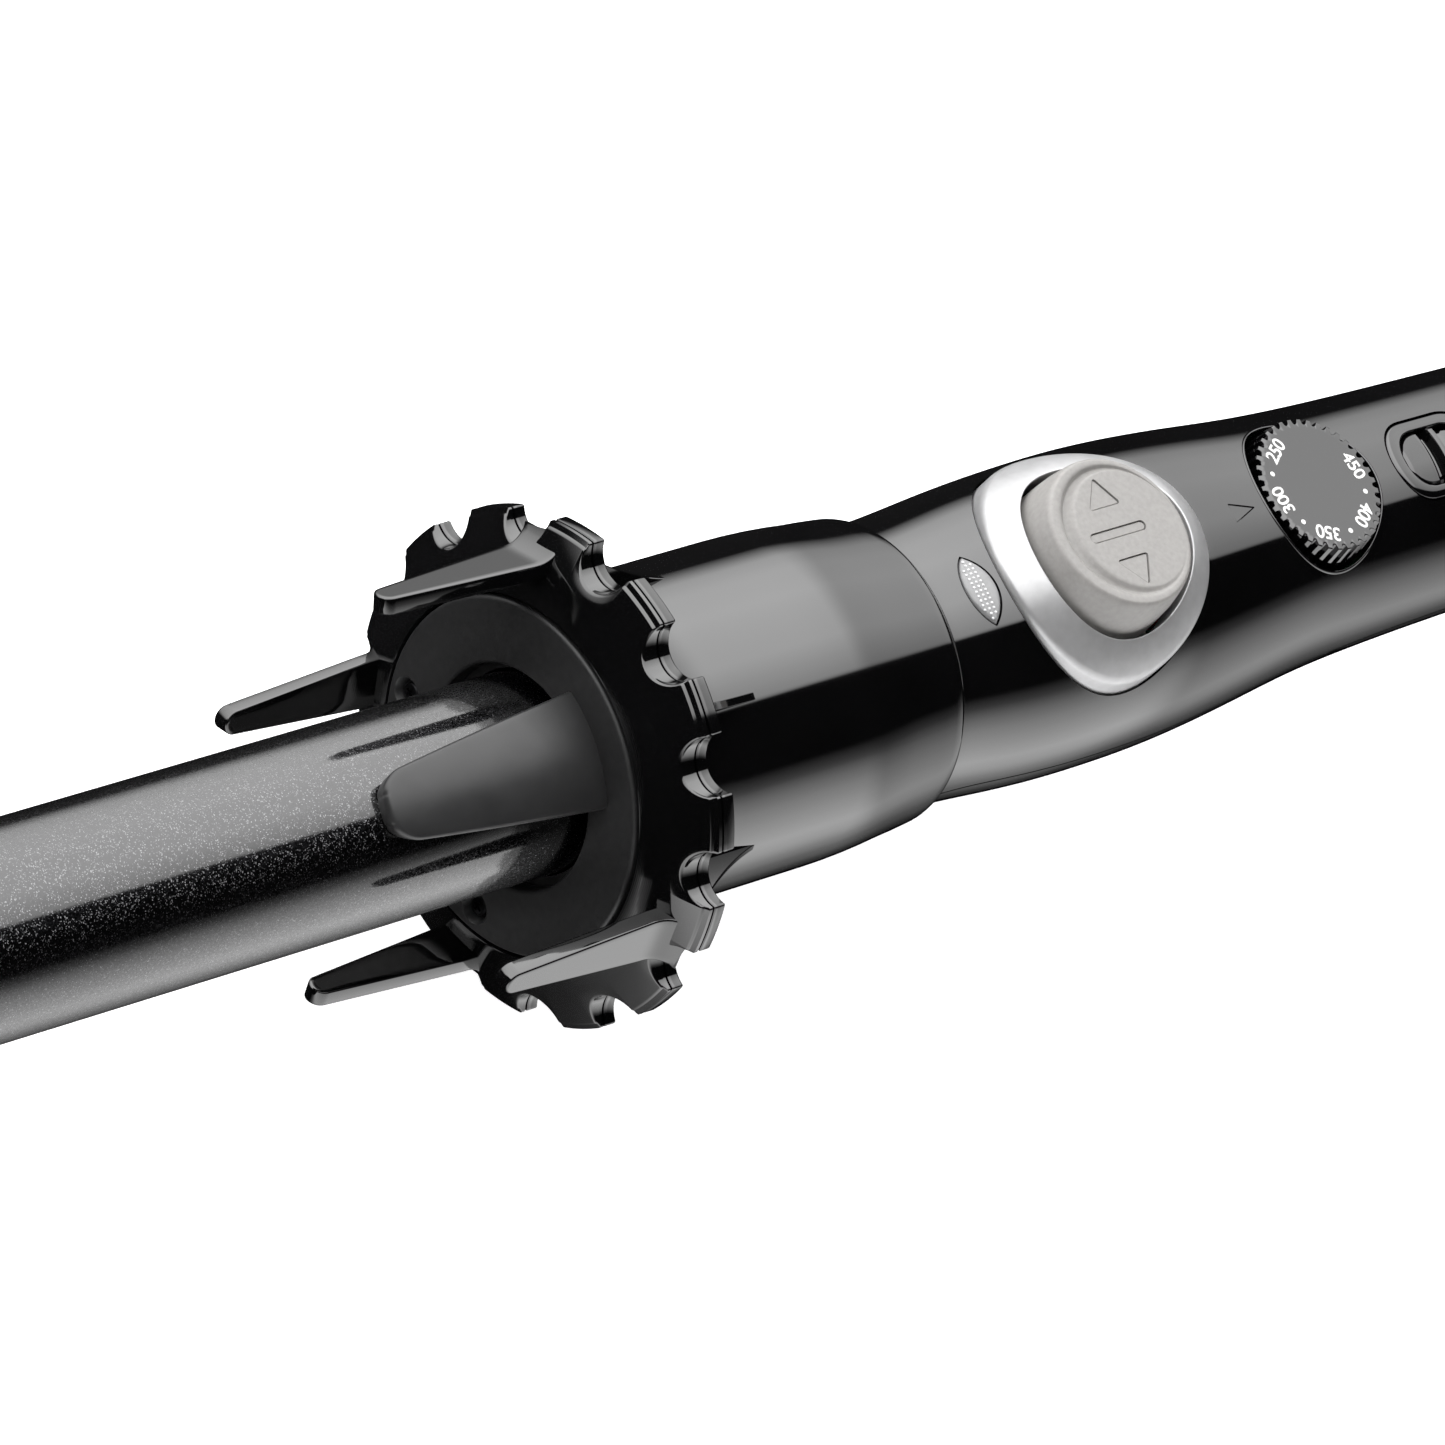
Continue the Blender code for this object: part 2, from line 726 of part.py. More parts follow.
# ---------------------------------------------------------------- gears and motor


def gear_outline(teeth, root, tip, root_share, tip_share, phase):
    """Corners of a gear whose teeth are trapezia. Shares are parts of one pitch."""
    outline = []
    pitch = 360 / teeth
    for tooth in range(teeth):
        middle = phase + tooth * pitch
        for side, radius, share in (
            (-1, root, root_share),
            (-1, tip, tip_share),
            (1, tip, tip_share),
            (1, root, root_share),
        ):
            angle = radians(middle + side * share * pitch / 2)
            outline.append((radius * cos(angle), radius * sin(angle)))
    return outline


def make_drive():
    gearbox_radius = TUBE_BORE - GAP
    profile = [
        (GEARBOX_END, 0),
        (GEARBOX_END, gearbox_radius),
        (GEARBOX_START, gearbox_radius),
        (GEARBOX_START, MOTOR_RADIUS),
        (MOTOR_START, MOTOR_RADIUS),
        (MOTOR_START, 0),
    ]
    motor = turned("gear_motor", profile, STEEL, 32)
    shaft_centre = Vector((0, 0, -SHAFT_OFFSET))
    shaft_start = shaft_centre + AXIS_X * (GEARBOX_END - 0.0030)
    shaft_end = shaft_centre + AXIS_X * (DISC + GEAR_END + 0.0008)
    bore = rod("shaft_bore", shaft_start - AXIS_X * GAP, shaft_end, SHAFT_RADIUS + GAP)
    cut(motor, bore)
    for side in (-1, 1):
        way = Vector((GEARBOX_START - 0.001, side * LEAD_CHANNEL[0], LEAD_CHANNEL[1]))
        channel = rod(f"lead_channel_{side + 2}", way, way + AXIS_X * 0.012, LEAD_RADIUS + 0.0005)
        cut(motor, channel)

    shaft = rod("motor_shaft", shaft_start, shaft_end, SHAFT_RADIUS, STEEL)
    root = PINION_PITCH_RADIUS - 0.0011
    tip = PINION_PITCH_RADIUS + 0.0006
    outline = gear_outline(PINION_TEETH, root, tip, 0.50, 0.20, -90)
    hole = circle(SHAFT_RADIUS + GAP, 16)
    middle = across(DISC + (GEAR_START + GEAR_END) / 2) @ Matrix.Translation((0, -SHAFT_OFFSET, 0))
    width = GEAR_END - GEAR_START - 2 * GAP
    pinion = plate("drive_pinion", [outline, hole], width, middle, BRASS)
    on_axis("pinion_axis", middle.translation, shaft, pinion)


# ---------------------------------------------------------------- handle shells


def half_space(name, side):
    """A box that holds all of the handle on one side of its seam."""
    size = (0.260, 0.060, 0.030)
    centre = (DISC + 0.150, 0, side * (size[2] + GAP) / 2)
    return block(name, size, centre)


def handle_body(name, side, look):
    """One half of the handle, hollow, with a collar at its front that grips the support tube."""
    last_wall = HANDLE_END - HANDLE_REAR_WALL
    stations = [DISC + x for x, _ in HANDLE_PROFILE]
    outer_side = [(DISC + x, r) for x, r in reversed(HANDLE_PROFILE)]
    hollow = [x for x in stations if COLLAR_END < x < last_wall]
    inner_side = [(DISC + HANDLE_FRONT, TUBE_RADIUS + GAP), (COLLAR_END, TUBE_RADIUS + GAP)]
    inner_side += [(COLLAR_END, handle_radius(COLLAR_END) - HANDLE_WALL)]
    inner_side += [(x, handle_radius(x) - HANDLE_WALL) for x in hollow]
    inner_side += [(last_wall, handle_radius(last_wall) - HANDLE_WALL)]
    inner_side += [(last_wall, SWIVEL_RADIUS + GAP), (HANDLE_END, SWIVEL_RADIUS + GAP)]
    body = turned(name, outer_side + inner_side, look)
    bake(keep(body, half_space(name + "_half", side)))
    return follow_rise(slice_at(body, stations[1:-1]))


def make_handle():
    upper = handle_body("handle_upper_shell", 1, GLOSS_BLACK)
    lower = handle_body("handle_lower_shell", -1, GLOSS_BLACK)

    sky = 0.0400
    power_hole = oval(POWER_LENGTH + 2 * GAP, POWER_WIDTH + 2 * GAP)
    power_place = Matrix.Translation((POWER, 0, 0.0200))
    lens_place = Matrix.Translation((LENS, 0, 0.0180))
    cut(
        upper,
        upright_rod("rocker_opening", ROCKER, 0.0040, sky, BEZEL_RADIUS + GAP, segments=40),
        upright_rod("dial_opening", DIAL, 0.0080, sky, DIAL_RADIUS + GAP, segments=40),
        plate("lens_opening", [lens_outline(GAP)], 0.0200, lens_place),
        plate("power_opening", [power_hole], 0.0200, power_place),
    )
    for number, station in enumerate(HANDLE_SCREWS, 1):
        fasten(number, station, upper, lower)


def fasten(number, station, upper, lower):
    """A post in each shell, and the screw that holds them together from below."""
    seam = rise(station)
    roof = seam + handle_radius(station) - 0.0010
    floor = seam - handle_radius(station) + 0.0010
    below = floor - 0.0040
    join(upper, upright_rod(f"upper_post_{number}", station, seam + 0.0004, roof, BOSS_RADIUS))
    join(lower, upright_rod(f"lower_post_{number}", station, floor, seam - 0.0004, BOSS_RADIUS))

    head_floor = seam - SCREW_HEAD_DEPTH
    tip = seam + SCREW_REACH
    head_way = upright_rod(f"head_way_{number}", station, below, head_floor, SCREW_HEAD_RADIUS + GAP)
    shank_radius = SCREW_SHANK_RADIUS + GAP
    shank_way = upright_rod(f"shank_way_{number}", station, below, tip + 0.0005, shank_radius)
    cut(lower, head_way, shank_way)
    cut(upper, shank_way)

    top = head_floor - GAP
    bottom = top - SCREW_HEAD_HEIGHT
    head = upright_rod(f"handle_screw_{number}", station, bottom, top, SCREW_HEAD_RADIUS, STEEL)
    join(head, upright_rod(f"shank_{number}", station, top - 0.0010, tip, SCREW_SHANK_RADIUS))


# ---------------------------------------------------------------- controls


def lens_outline(grow):
    """A pointed oval, long across the wand."""
    half_length = LENS_LENGTH / 2 + grow
    half_width = LENS_WIDTH / 2 + grow
    radius = (half_length**2 + half_width**2) / (2 * half_width)
    spread = 180 / pi * (half_length / radius)
    right = arc(radius, -spread, spread, 9, (half_width - radius, 0))
    left = [(-x, -y) for x, y in right]
    return right[:-1] + left[:-1]


def make_indicator():
    skin = handle_skin("lens_skin", -GAP, HANDLE_WALL, LENS - 0.006, LENS + 0.006)
    lens_place = Matrix.Translation((LENS, 0, 0.0180))
    keep(plate("indicator_lens", [lens_outline(0)], 0.0200, lens_place, CLEAR), skin)
    upright_rod("indicator_led", LENS, 0.0110, 0.0145, LED_RADIUS, CLEAR)


def make_direction_rocker():
    start = ROCKER - BEZEL_RADIUS - 0.002
    end = ROCKER + BEZEL_RADIUS + 0.002
    sky = 0.0400
    bezel_bore = SKIRT_RADIUS + 0.0005
    bezel = upright_rod("button_bezel", ROCKER, 0.002, sky, BEZEL_RADIUS, SATIN_CHROME, None, 48)
    keep(bezel, handle_skin("bezel_skin", -BEZEL_PROUD, 0.0022, start, end))
    cut(bezel, upright_rod("bezel_bore", ROCKER, 0, sky, bezel_bore, segments=48))

    rocker = upright_rod(
        "direction_rocker", ROCKER, 0.004, sky, SKIRT_RADIUS, SATIN_SILVER, None, 48
    )
    keep(rocker, handle_skin("skirt_skin", -BEZEL_PROUD, 0.0012, start, end))
    shoulder = upright_rod(
        "rocker_shoulder",
        ROCKER,
        ROCKER_BASE,
        ROCKER_SHOULDER,
        ROCKER_TOP_RADIUS + 0.0008,
        tip_radius=ROCKER_TOP_RADIUS,
        segments=40,
    )
    pad = upright_rod(
        "rocker_pad",
        ROCKER,
        ROCKER_BASE + 0.001,
        ROCKER_TOP,
        ROCKER_PAD_RADIUS + 0.0004,
        tip_radius=ROCKER_PAD_RADIUS,
        segments=40,
    )
    pivot_block = block("pivot_block", (0.0100, 0.0044, 0.0080), (ROCKER, 0, ROCKER_PIVOT + 0.0018))
    join(rocker, shoulder, pad, pivot_block)

    half_pin = AXIS_X * ROCKER_PIN_HALF
    pivot = Vector((ROCKER, 0, ROCKER_PIVOT))
    pin_bore = rod("pin_bore", pivot - half_pin, pivot + half_pin, ROCKER_PIN_RADIUS + GAP)
    cut(rocker, pin_bore)
    rod("rocker_pin", pivot - half_pin, pivot + half_pin, ROCKER_PIN_RADIUS, STEEL)
    on_axis("rocker_axis", pivot, rocker)
    make_switch_carrier(pin_bore)


def make_switch_carrier(pin_bore):
    """A plate with two posts that hold the rocker's pin, and a switch on each side of it."""
    carrier = block("switch_carrier", CARRIER_SIZE, (ROCKER, 0, CARRIER_HEIGHT), NATURAL_PLASTIC)
    post_size = (0.0022, 0.0044, PIN_POST_TOP - CARRIER_HEIGHT)
    post_middle = (PIN_POST_TOP + CARRIER_HEIGHT) / 2
    for side in (-1, 1):
        centre = (ROCKER + side * PIN_POST_OFFSET, 0, post_middle)
        join(carrier, block(f"pin_post_{side + 2}", post_size, centre))
    cut(carrier, pin_bore)

    switch_base = CARRIER_HEIGHT + CARRIER_SIZE[2] / 2 + GAP
    switch_size = (BUTTON_SWITCH_SIDE, BUTTON_SWITCH_SIDE, BUTTON_SWITCH_TOP - switch_base)
    for side, name in ((-1, "direction_switch_left"), (1, "direction_switch_right")):
        across_wand = side * BUTTON_SWITCH_OFFSET
        centre = (ROCKER, across_wand, (switch_base + BUTTON_SWITCH_TOP) / 2)
        switch = block(name, switch_size, centre, GLOSS_BLACK)
        foot = (ROCKER, across_wand, switch_base + 0.001)
        top = (ROCKER, across_wand, PLUNGER_TOP)
        join(switch, rod(name + "_plunger", foot, top, PLUNGER_RADIUS))


def make_temperature_dial():
    """A flat knob whose side is fluted between ribs."""
    form = bmesh.new()
    segments = DIAL_RIBS * 2
    height = DIAL_TOP - DIAL_BASE
    bmesh.ops.create_cone(
        form,
        cap_ends=True,
        segments=segments,
        radius1=DIAL_RADIUS,
        radius2=DIAL_RADIUS,
        depth=height,
    )
    for vertex in form.verts:
        turn = AXIS_X.angle(vertex.co.xy.to_3d()) * segments / tau
        on_rib = round(turn) % 2 == 0
        taper = DIAL_TAPER if vertex.co.z > 0 else 0
        radius = DIAL_RADIUS - taper - (0 if on_rib else RIB_DEPTH)
        vertex.co.xy = vertex.co.xy.normalized() * radius
    form.transform(Matrix.Translation((DIAL, 0, DIAL_BASE + height / 2)))
    knob = place("temperature_dial", mesh_from("temperature_dial", form), GLOSS_BLACK)
    wide = DIAL_SHAFT_RADIUS + GAP
    cut(knob, upright_rod("knob_bore", DIAL, 0.010, DIAL_SHAFT_TOP + GAP, wide, segments=20))

    foot = POT_TOP - 0.0030
    shaft = upright_rod(
        "dial_shaft", DIAL, foot, DIAL_SHAFT_TOP, DIAL_SHAFT_RADIUS, ALUMINIUM, None, 20
    )
    on_axis("temperature_axis", (DIAL, 0, 0), knob, shaft)
    pot_middle = POT_TOP - POT_HEIGHT / 2
    pot = block("potentiometer", (POT_SIDE, POT_SIDE, POT_HEIGHT), (DIAL, 0, pot_middle), STEEL)
    cut(pot, upright_rod("pot_way", DIAL, foot - GAP, 0.02, wide, segments=20))


def make_power_switch():
    top = Matrix.Translation((POWER, 0, 0.0180))
    outlines = [oval(POWER_LENGTH, POWER_WIDTH), oval(POWER_OPENING_LENGTH, POWER_OPENING_WIDTH)]
    bezel = plate("switch_bezel", outlines, 0.0200, top, GLOSS_BLACK)
    start, end = POWER - POWER_LENGTH, POWER + POWER_LENGTH
    keep(bezel, handle_skin("switch_skin", 0, 0.0030, start, end))

    length = POWER_OPENING_LENGTH - 2 * POWER_ROCKER_PLAY
    width = POWER_OPENING_WIDTH - 2 * GAP
    pivot = Vector((POWER, 0, POWER_PIVOT))
    outline = oval(length, width)
    rocker = plate(
        "power_rocker", [outline], POWER_ROCKER_HEIGHT, Matrix.Translation(pivot), MATTE_BLACK
    )
    ridge_size = (0.0014, POWER_OPENING_WIDTH - 0.0014, 0.0016)
    join(rocker, block("rocker_ridge", ridge_size, (POWER, 0, POWER_PIVOT + 0.0024)))
    on_axis("power_axis", pivot, rocker)
    block("power_switch_body", SWITCH_BODY_SIZE, (POWER, 0, SWITCH_BODY_HEIGHT), MATTE_BLACK)


# ---------------------------------------------------------------- electronics and cord inlet


def make_board():
    middle = (BOARD_START + BOARD_END) / 2
    size = (BOARD_END - BOARD_START, BOARD_WIDTH, BOARD_THICKNESS)
    board = block("circuit_board", size, (middle, 0, BOARD_HEIGHT), BOARD_GREEN)
    for number, station in enumerate(HANDLE_SCREWS[:2], 1):
        cut(board, upright_rod(f"board_hole_{number}", station, -0.01, 0.01, BOSS_RADIUS + 0.0005))
    relay_height = BOARD_HEIGHT - BOARD_THICKNESS / 2 - GAP - RELAY_SIZE[2] / 2
    block("power_relay", RELAY_SIZE, (DISC + 0.1400, 0, relay_height), MATTE_BLACK)


def make_leads():
    """Two insulated leads from the heater, over the motor, to the circuit board."""
    half, height = LEAD_CHANNEL
    for number, side in enumerate((-1, 1), 1):
        route = (
            (DISC - 0.0125, side * 0.0022, 0.0040),
            (DISC - 0.0020, side * 0.0020, 0.0022),
            (DISC + 0.0125, side * 0.0020, 0.0018),
            (DISC + 0.0165, side * 0.0030, 0.0075),
            (DISC + 0.0205, side * half, height),
            (DISC + 0.0460, side * half, height),
            (DISC + 0.0600, side * 0.0050, 0.0090),
            (DISC + 0.0760, side * 0.0060, 0.0030),
            (DISC + 0.0960, side * 0.0050, 0.0035),
            (DISC + 0.1080, side * 0.0070, 0.0033),
        )
        curve = bpy.data.curves.new(f"heater_lead_{number}", "CURVE")
        curve.dimensions = "3D"
        curve.bevel_depth = LEAD_RADIUS
        curve.bevel_resolution = 1
        curve.use_fill_caps = True
        curve.materials.append(LEAD_RED)
        points = smooth_route([Vector(point) for point in route], 3)
        spline = curve.splines.new("POLY")
        spline.points.add(len(points) - 1)
        for point, spot in zip(spline.points, points):
            point.co = (*spot, 1)
        PARTS.objects.link(bpy.data.objects.new(curve.name, curve))


def smooth_route(points, pieces):
    """Points on a Catmull-Rom curve through a route's own points."""
    ends = [points[0] * 2 - points[1]] + points + [points[-1] * 2 - points[-2]]
    found = []
    for a, b, c, d in zip(ends, ends[1:], ends[2:], ends[3:]):
        for i in range(pieces):
            t = i / pieces
            straight = b * 2 + (c - a) * t
            bend = (a * 2 - b * 5 + c * 4 - d) * t**2
            twist = (b * 3 - a - c * 3 + d) * t**3
            found.append((straight + bend + twist) / 2)
    return found + [points[-1]]


def make_swivel():
    """The cord's inlet turns in the handle's rear wall, and a collar inside keeps it there."""
    lift = rise(HANDLE_END)
    wall = HANDLE_END - HANDLE_REAR_WALL - GAP
    profile = [
        (HANDLE_END + SWIVEL_REACH, SWIVEL_TIP_RADIUS),
        (HANDLE_END + 0.0030, SWIVEL_RADIUS - 0.0008),
        (HANDLE_END + 0.0010, SWIVEL_RADIUS),
        (wall, SWIVEL_RADIUS),
        (wall, SWIVEL_COLLAR_RADIUS),
        (HANDLE_END - SWIVEL_INSIDE, SWIVEL_COLLAR_RADIUS),
        (HANDLE_END - SWIVEL_INSIDE, CORD_HOLE_RADIUS),
        (HANDLE_END + SWIVEL_REACH, CORD_HOLE_RADIUS),
    ]
    swivel = turned("cord_swivel", profile, MATTE_BLACK, 32)
    for vertex in swivel.data.vertices:
        vertex.co.z += lift
    on_axis("swivel_axis", (HANDLE_END, 0, lift), swivel)


make_barrel()
make_heater()
make_disc()
make_dial(notch_cutter())
make_drive()
make_handle()
make_indicator()
make_direction_rocker()
make_temperature_dial()
make_power_switch()
make_board()
make_leads()
make_swivel()
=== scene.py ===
"""Looks of the motorised curling wand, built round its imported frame.

All sizes are in metres, in the frame's own axes: +X runs down the wand from its tip, and +Z points
out of the side with the controls. Angles round the wand are degrees from +Z towards +Y, and a
"reach" is a distance behind the front face of the fixed disc.
"""

import json
from math import cos, pi, radians, sin, sqrt, tan

import bmesh
import bpy
import numpy as np
from mathutils import Matrix, Vector


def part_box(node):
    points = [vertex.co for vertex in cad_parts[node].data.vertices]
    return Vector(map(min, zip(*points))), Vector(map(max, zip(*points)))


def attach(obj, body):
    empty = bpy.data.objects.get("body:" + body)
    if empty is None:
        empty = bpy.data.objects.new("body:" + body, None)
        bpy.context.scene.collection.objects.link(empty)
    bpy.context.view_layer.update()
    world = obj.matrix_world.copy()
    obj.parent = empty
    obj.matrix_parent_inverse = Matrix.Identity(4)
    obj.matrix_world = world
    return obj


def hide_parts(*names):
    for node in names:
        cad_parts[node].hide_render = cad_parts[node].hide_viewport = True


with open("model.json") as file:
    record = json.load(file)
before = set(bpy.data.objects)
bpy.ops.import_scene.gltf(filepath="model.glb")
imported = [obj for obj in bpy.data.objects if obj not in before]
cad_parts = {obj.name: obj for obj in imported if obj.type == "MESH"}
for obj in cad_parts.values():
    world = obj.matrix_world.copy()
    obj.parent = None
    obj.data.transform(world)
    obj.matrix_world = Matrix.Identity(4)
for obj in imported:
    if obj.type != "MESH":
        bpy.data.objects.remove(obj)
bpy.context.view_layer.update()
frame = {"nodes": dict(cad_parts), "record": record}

# ---------------------------------------------------------------- sizes, taken from the frame


def middle(node):
    low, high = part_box(node)
    return (low + high) / 2


def half_size(node):
    low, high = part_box(node)
    return (high - low) / 2


GAP = 0.0003
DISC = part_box("front_disc")[0].x
DISC_RADIUS = half_size("front_disc").y
DISC_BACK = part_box("front_disc")[1].x - DISC
DISC_BORE = 0.0141
DISC_SCREW_HEAD = 0.0006
BARREL_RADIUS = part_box("barrel_tube")[1].z
BARREL_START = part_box("barrel_tube")[0].x
BARREL_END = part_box("barrel_tube")[1].x
BARREL_WALL = 0.0012
TIP_ROUND = 0.0035

FINGER_ANGLE = 344
FINGER_RADIUS = 0.0178
FINGER_THICKNESS = 0.0020
FINGER_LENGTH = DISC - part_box("guard_finger")[0].x
FINGER_ROOT_HALF = 0.0078
FINGER_TIP_HALF = 0.0052
FINGER_CORNER = 0.0030

TEETH = 14
TOOTH_PHASE = 36.5
RING_BORE = 0.0229
RING_RADIUS = 0.0324
RING_FRONT_RADIUS = 0.0318
RING_FRONT = 0.0040
RING_RIM = 0.0046
RING_BACK = 0.0052
FLANGE_FRONT = RING_BACK + GAP
FLANGE_BACK = 0.0072
NOTCH_RADIUS = 0.00365
NOTCH_CENTRE = 0.03215
TOOTH_CORNER = 0.0004
PRONG_ANGLES = (43.5, 126, 204, 287)
PRONG_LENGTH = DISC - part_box("dial_front_ring")[0].x
PRONG_BOTTOM = 0.0264
PRONG_TOP = 0.0287
PRONG_TIP_HALF = 0.00165
PRONG_ROOT_HALF = 0.00327
PRONG_LEAN = 4
PRONG_LIFT = 0.0025
GUSSET_ANGLES = (345, 41, 290, 165, 109, 221)
GUSSET_END = 0.0262
GUSSET_RADIUS = 0.0287
GUSSET_HALF = 0.0005
SLEEVE_RADIUS = 0.0210
SLEEVE_BORE = 0.0188
SLEEVE_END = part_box("dial_sleeve")[1].x - DISC

HANDLE_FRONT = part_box("handle_upper_shell")[0].x - DISC
HANDLE_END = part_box("handle_upper_shell")[1].x
HANDLE_LENGTH = HANDLE_END - DISC
HANDLE_WALL = 0.0020
HANDLE_BORE = 0.0150
HANDLE_SCREW_HEAD = 0.0016
HANDLE_RISE = middle("cord_swivel").z
RISE_START = 0.0680
RISE_END = 0.1280
HANDLE_PROFILE = (  # reach, radius
    (0.0530, 0.0183),
    (0.0640, 0.0183),
    (0.0730, 0.0189),
    (0.0810, 0.0194),
    (0.0890, 0.0196),
    (0.0980, 0.0195),
    (0.1060, 0.0190),
    (0.1150, 0.0181),
    (0.1250, 0.0170),
    (0.1350, 0.0163),
    (0.1550, 0.0156),
    (0.1850, 0.0149),
    (0.2070, 0.0142),
)

ROCKER = middle("direction_rocker").x
BEZEL_RADIUS = half_size("button_bezel").x
BEZEL_PROUD = 0.0006
BEZEL_SADDLE = 0.0020
BEZEL_CLIMB = 0.0021
BEZEL_LIP = 0.0120
BEZEL_FOOT = -0.0022
ROCKER_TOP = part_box("direction_rocker")[1].z
ROCKER_UNDERSIDE = 0.0175
ROCKER_HOLLOW = 0.0098
VALLEY_TURN = -15
MARK_SHIFT = 0.0004
MARK_DEPTH = 0.0006
SHOULDER_RADIUS = 0.0107
PAD_RADIUS = 0.0085
PAD_OFFSET = 0.0016
VALLEY_DEPTH = 0.0010
LENS = middle("indicator_lens").x
LENS_HALF_LENGTH = half_size("indicator_lens").y
LENS_HALF_WIDTH = half_size("indicator_lens").x
LENS_PROUD = 0.00026
DIAL = middle("temperature_dial").x
DIAL_RADIUS = half_size("temperature_dial").x
DIAL_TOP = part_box("temperature_dial")[1].z
DIAL_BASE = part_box("temperature_dial")[0].z
DIAL_RIBS = 38
DIAL_TAPER = 0.0008
RIB_DEPTH = 0.0009
NUMBER_SIZE = 0.0027
NUMBER_START = 124.5
NUMBER_STEP = 61.0
NUMBER_RADIUS = 0.00705
DOT_RADIUS = 0.0072
POWER = middle("power_rocker").x
POWER_LENGTH = 0.0178
POWER_WIDTH = 0.0112
POWER_OPENING_LENGTH = 0.0132
POWER_OPENING_WIDTH = 0.0080
SWIVEL_BORE = 0.0034
SWIVEL_NECK = 0.0075

GROOVE_PITCH = 0.00022
FLAKE_SIZE = 1 / 7600
FLAKE_TILT = 0.45


# ---------------------------------------------------------------- materials


class Graph:
    """Shader nodes that are put together one by one."""

    def __init__(self, owner):
        owner.use_nodes = True
        self.tree = owner.node_tree

    def add(self, kind, **settings):
        node = self.tree.nodes.new(kind)
        for key, value in settings.items():
            setattr(node, key, value)
        return node

    def link(self, source, target):
        self.tree.links.new(source, target)

    def math(self, operation, *values, kind="ShaderNodeMath"):
        node = self.add(kind, operation=operation)
        for socket, value in zip(node.inputs, values):
            if isinstance(value, bpy.types.NodeSocket):
                self.link(value, socket)
            else:
                socket.default_value = value
        return node.outputs[0]

    def vector(self, operation, *values):
        return self.math(operation, *values, kind="ShaderNodeVectorMath")

    def ramp(self, value, low, high, start=0.3, end=0.7, **settings):
        span = self.add("ShaderNodeMapRange", clamp=True, **settings)
        limits = {"From Min": start, "From Max": end, "To Min": low, "To Max": high}
        for socket, limit in limits.items():
            span.inputs[socket].default_value = limit
        self.link(value, span.inputs["Value"])
        return span.outputs["Result"]

    def axes(self):
        """The object's own coordinates, one by one."""
        parts = self.add("ShaderNodeSeparateXYZ")
        self.link(self.add("ShaderNodeTexCoord").outputs["Object"], parts.inputs[0])
        return parts.outputs


class Look(Graph):
    """A Principled material."""

    def __init__(self, name, colour, roughness, metallic=0.0, ior=1.5):
        self.material = bpy.data.materials.new(name)
        super().__init__(self.material)
        self.shader = self.tree.nodes["Principled BSDF"]
        self.colour = colour
        self.set("Base Color", (*colour, 1)).set("Roughness", roughness)
        self.set("Metallic", metallic).set("IOR", ior)
        self.place = self.add("ShaderNodeTexCoord").outputs["Object"]

    def set(self, socket, value):
        self.shader.inputs[socket].default_value = value
        return self

    def blend(self, share, low, high):
        """Colours the surface by a share of the way between two colours."""
        mix = self.add("ShaderNodeMix", data_type="RGBA")
        mix.inputs[6].default_value = (*low, 1)
        mix.inputs[7].default_value = (*high, 1)
        self.link(share, mix.inputs[0])
        self.link(mix.outputs[2], self.shader.inputs["Base Color"])
        return self

    def noise(self, scale, detail=2.0, stretch=(1, 1, 1)):
        spread = self.add("ShaderNodeMapping")
        spread.inputs["Scale"].default_value = stretch
        self.link(self.place, spread.inputs["Vector"])
        texture = self.add("ShaderNodeTexNoise")
        texture.inputs["Scale"].default_value = scale
        texture.inputs["Detail"].default_value = detail
        self.link(spread.outputs["Vector"], texture.inputs["Vector"])
        return texture.outputs["Fac"]

    def mottle(self, scale, amount, detail=3.0, stretch=(1, 1, 1)):
        """Slow changes of tone across the surface."""
        low = [c * (1 - amount) for c in self.colour]
        high = [min(c * (1 + amount), 1) for c in self.colour]
        return self.blend(self.ramp(self.noise(scale, detail, stretch), 0, 1), low, high)

    def wear(self, scale, low, high, detail=4.0, stretch=(1, 1, 1)):
        """Roughness that changes from place to place."""
        share = self.ramp(self.noise(scale, detail, stretch), low, high)
        self.link(share, self.shader.inputs["Roughness"])
        return self

    def relief(self, height, distance, strength=1.0, socket="Normal"):
        bump = self.add("ShaderNodeBump")
        bump.inputs["Distance"].default_value = distance
        bump.inputs["Strength"].default_value = strength
        self.link(height, bump.inputs["Height"])
        self.link(bump.outputs["Normal"], self.shader.inputs[socket])
        return self

    def grain(self, scale, distance, strength=1.0, detail=2.0, stretch=(1, 1, 1)):
        return self.relief(self.noise(scale, detail, stretch), distance, strength)


def gloss_black(name):
    look = Look(name, (0.0020, 0.0020, 0.0022), 0.06, ior=1.95)
    return look.mottle(60, 0.25).wear(45, 0.045, 0.070)


def ring_black():
    """Gloss black whose inner slope carries fine turned grooves."""
    look = gloss_black("gloss_black_turned")
    axes = look.axes()
    squares = [look.math("MULTIPLY", axes[i], axes[i]) for i in (1, 2)]
    radius = look.math("SQRT", look.math("ADD", *squares))
    waves = look.math("SINE", look.math("MULTIPLY", radius, 2 * pi / GROOVE_PITCH))
    inside = look.ramp(radius, 1.0, 0.0, 0.0250, 0.0272)
    return look.relief(look.math("MULTIPLY", waves, inside), 0.000004, 0.6)


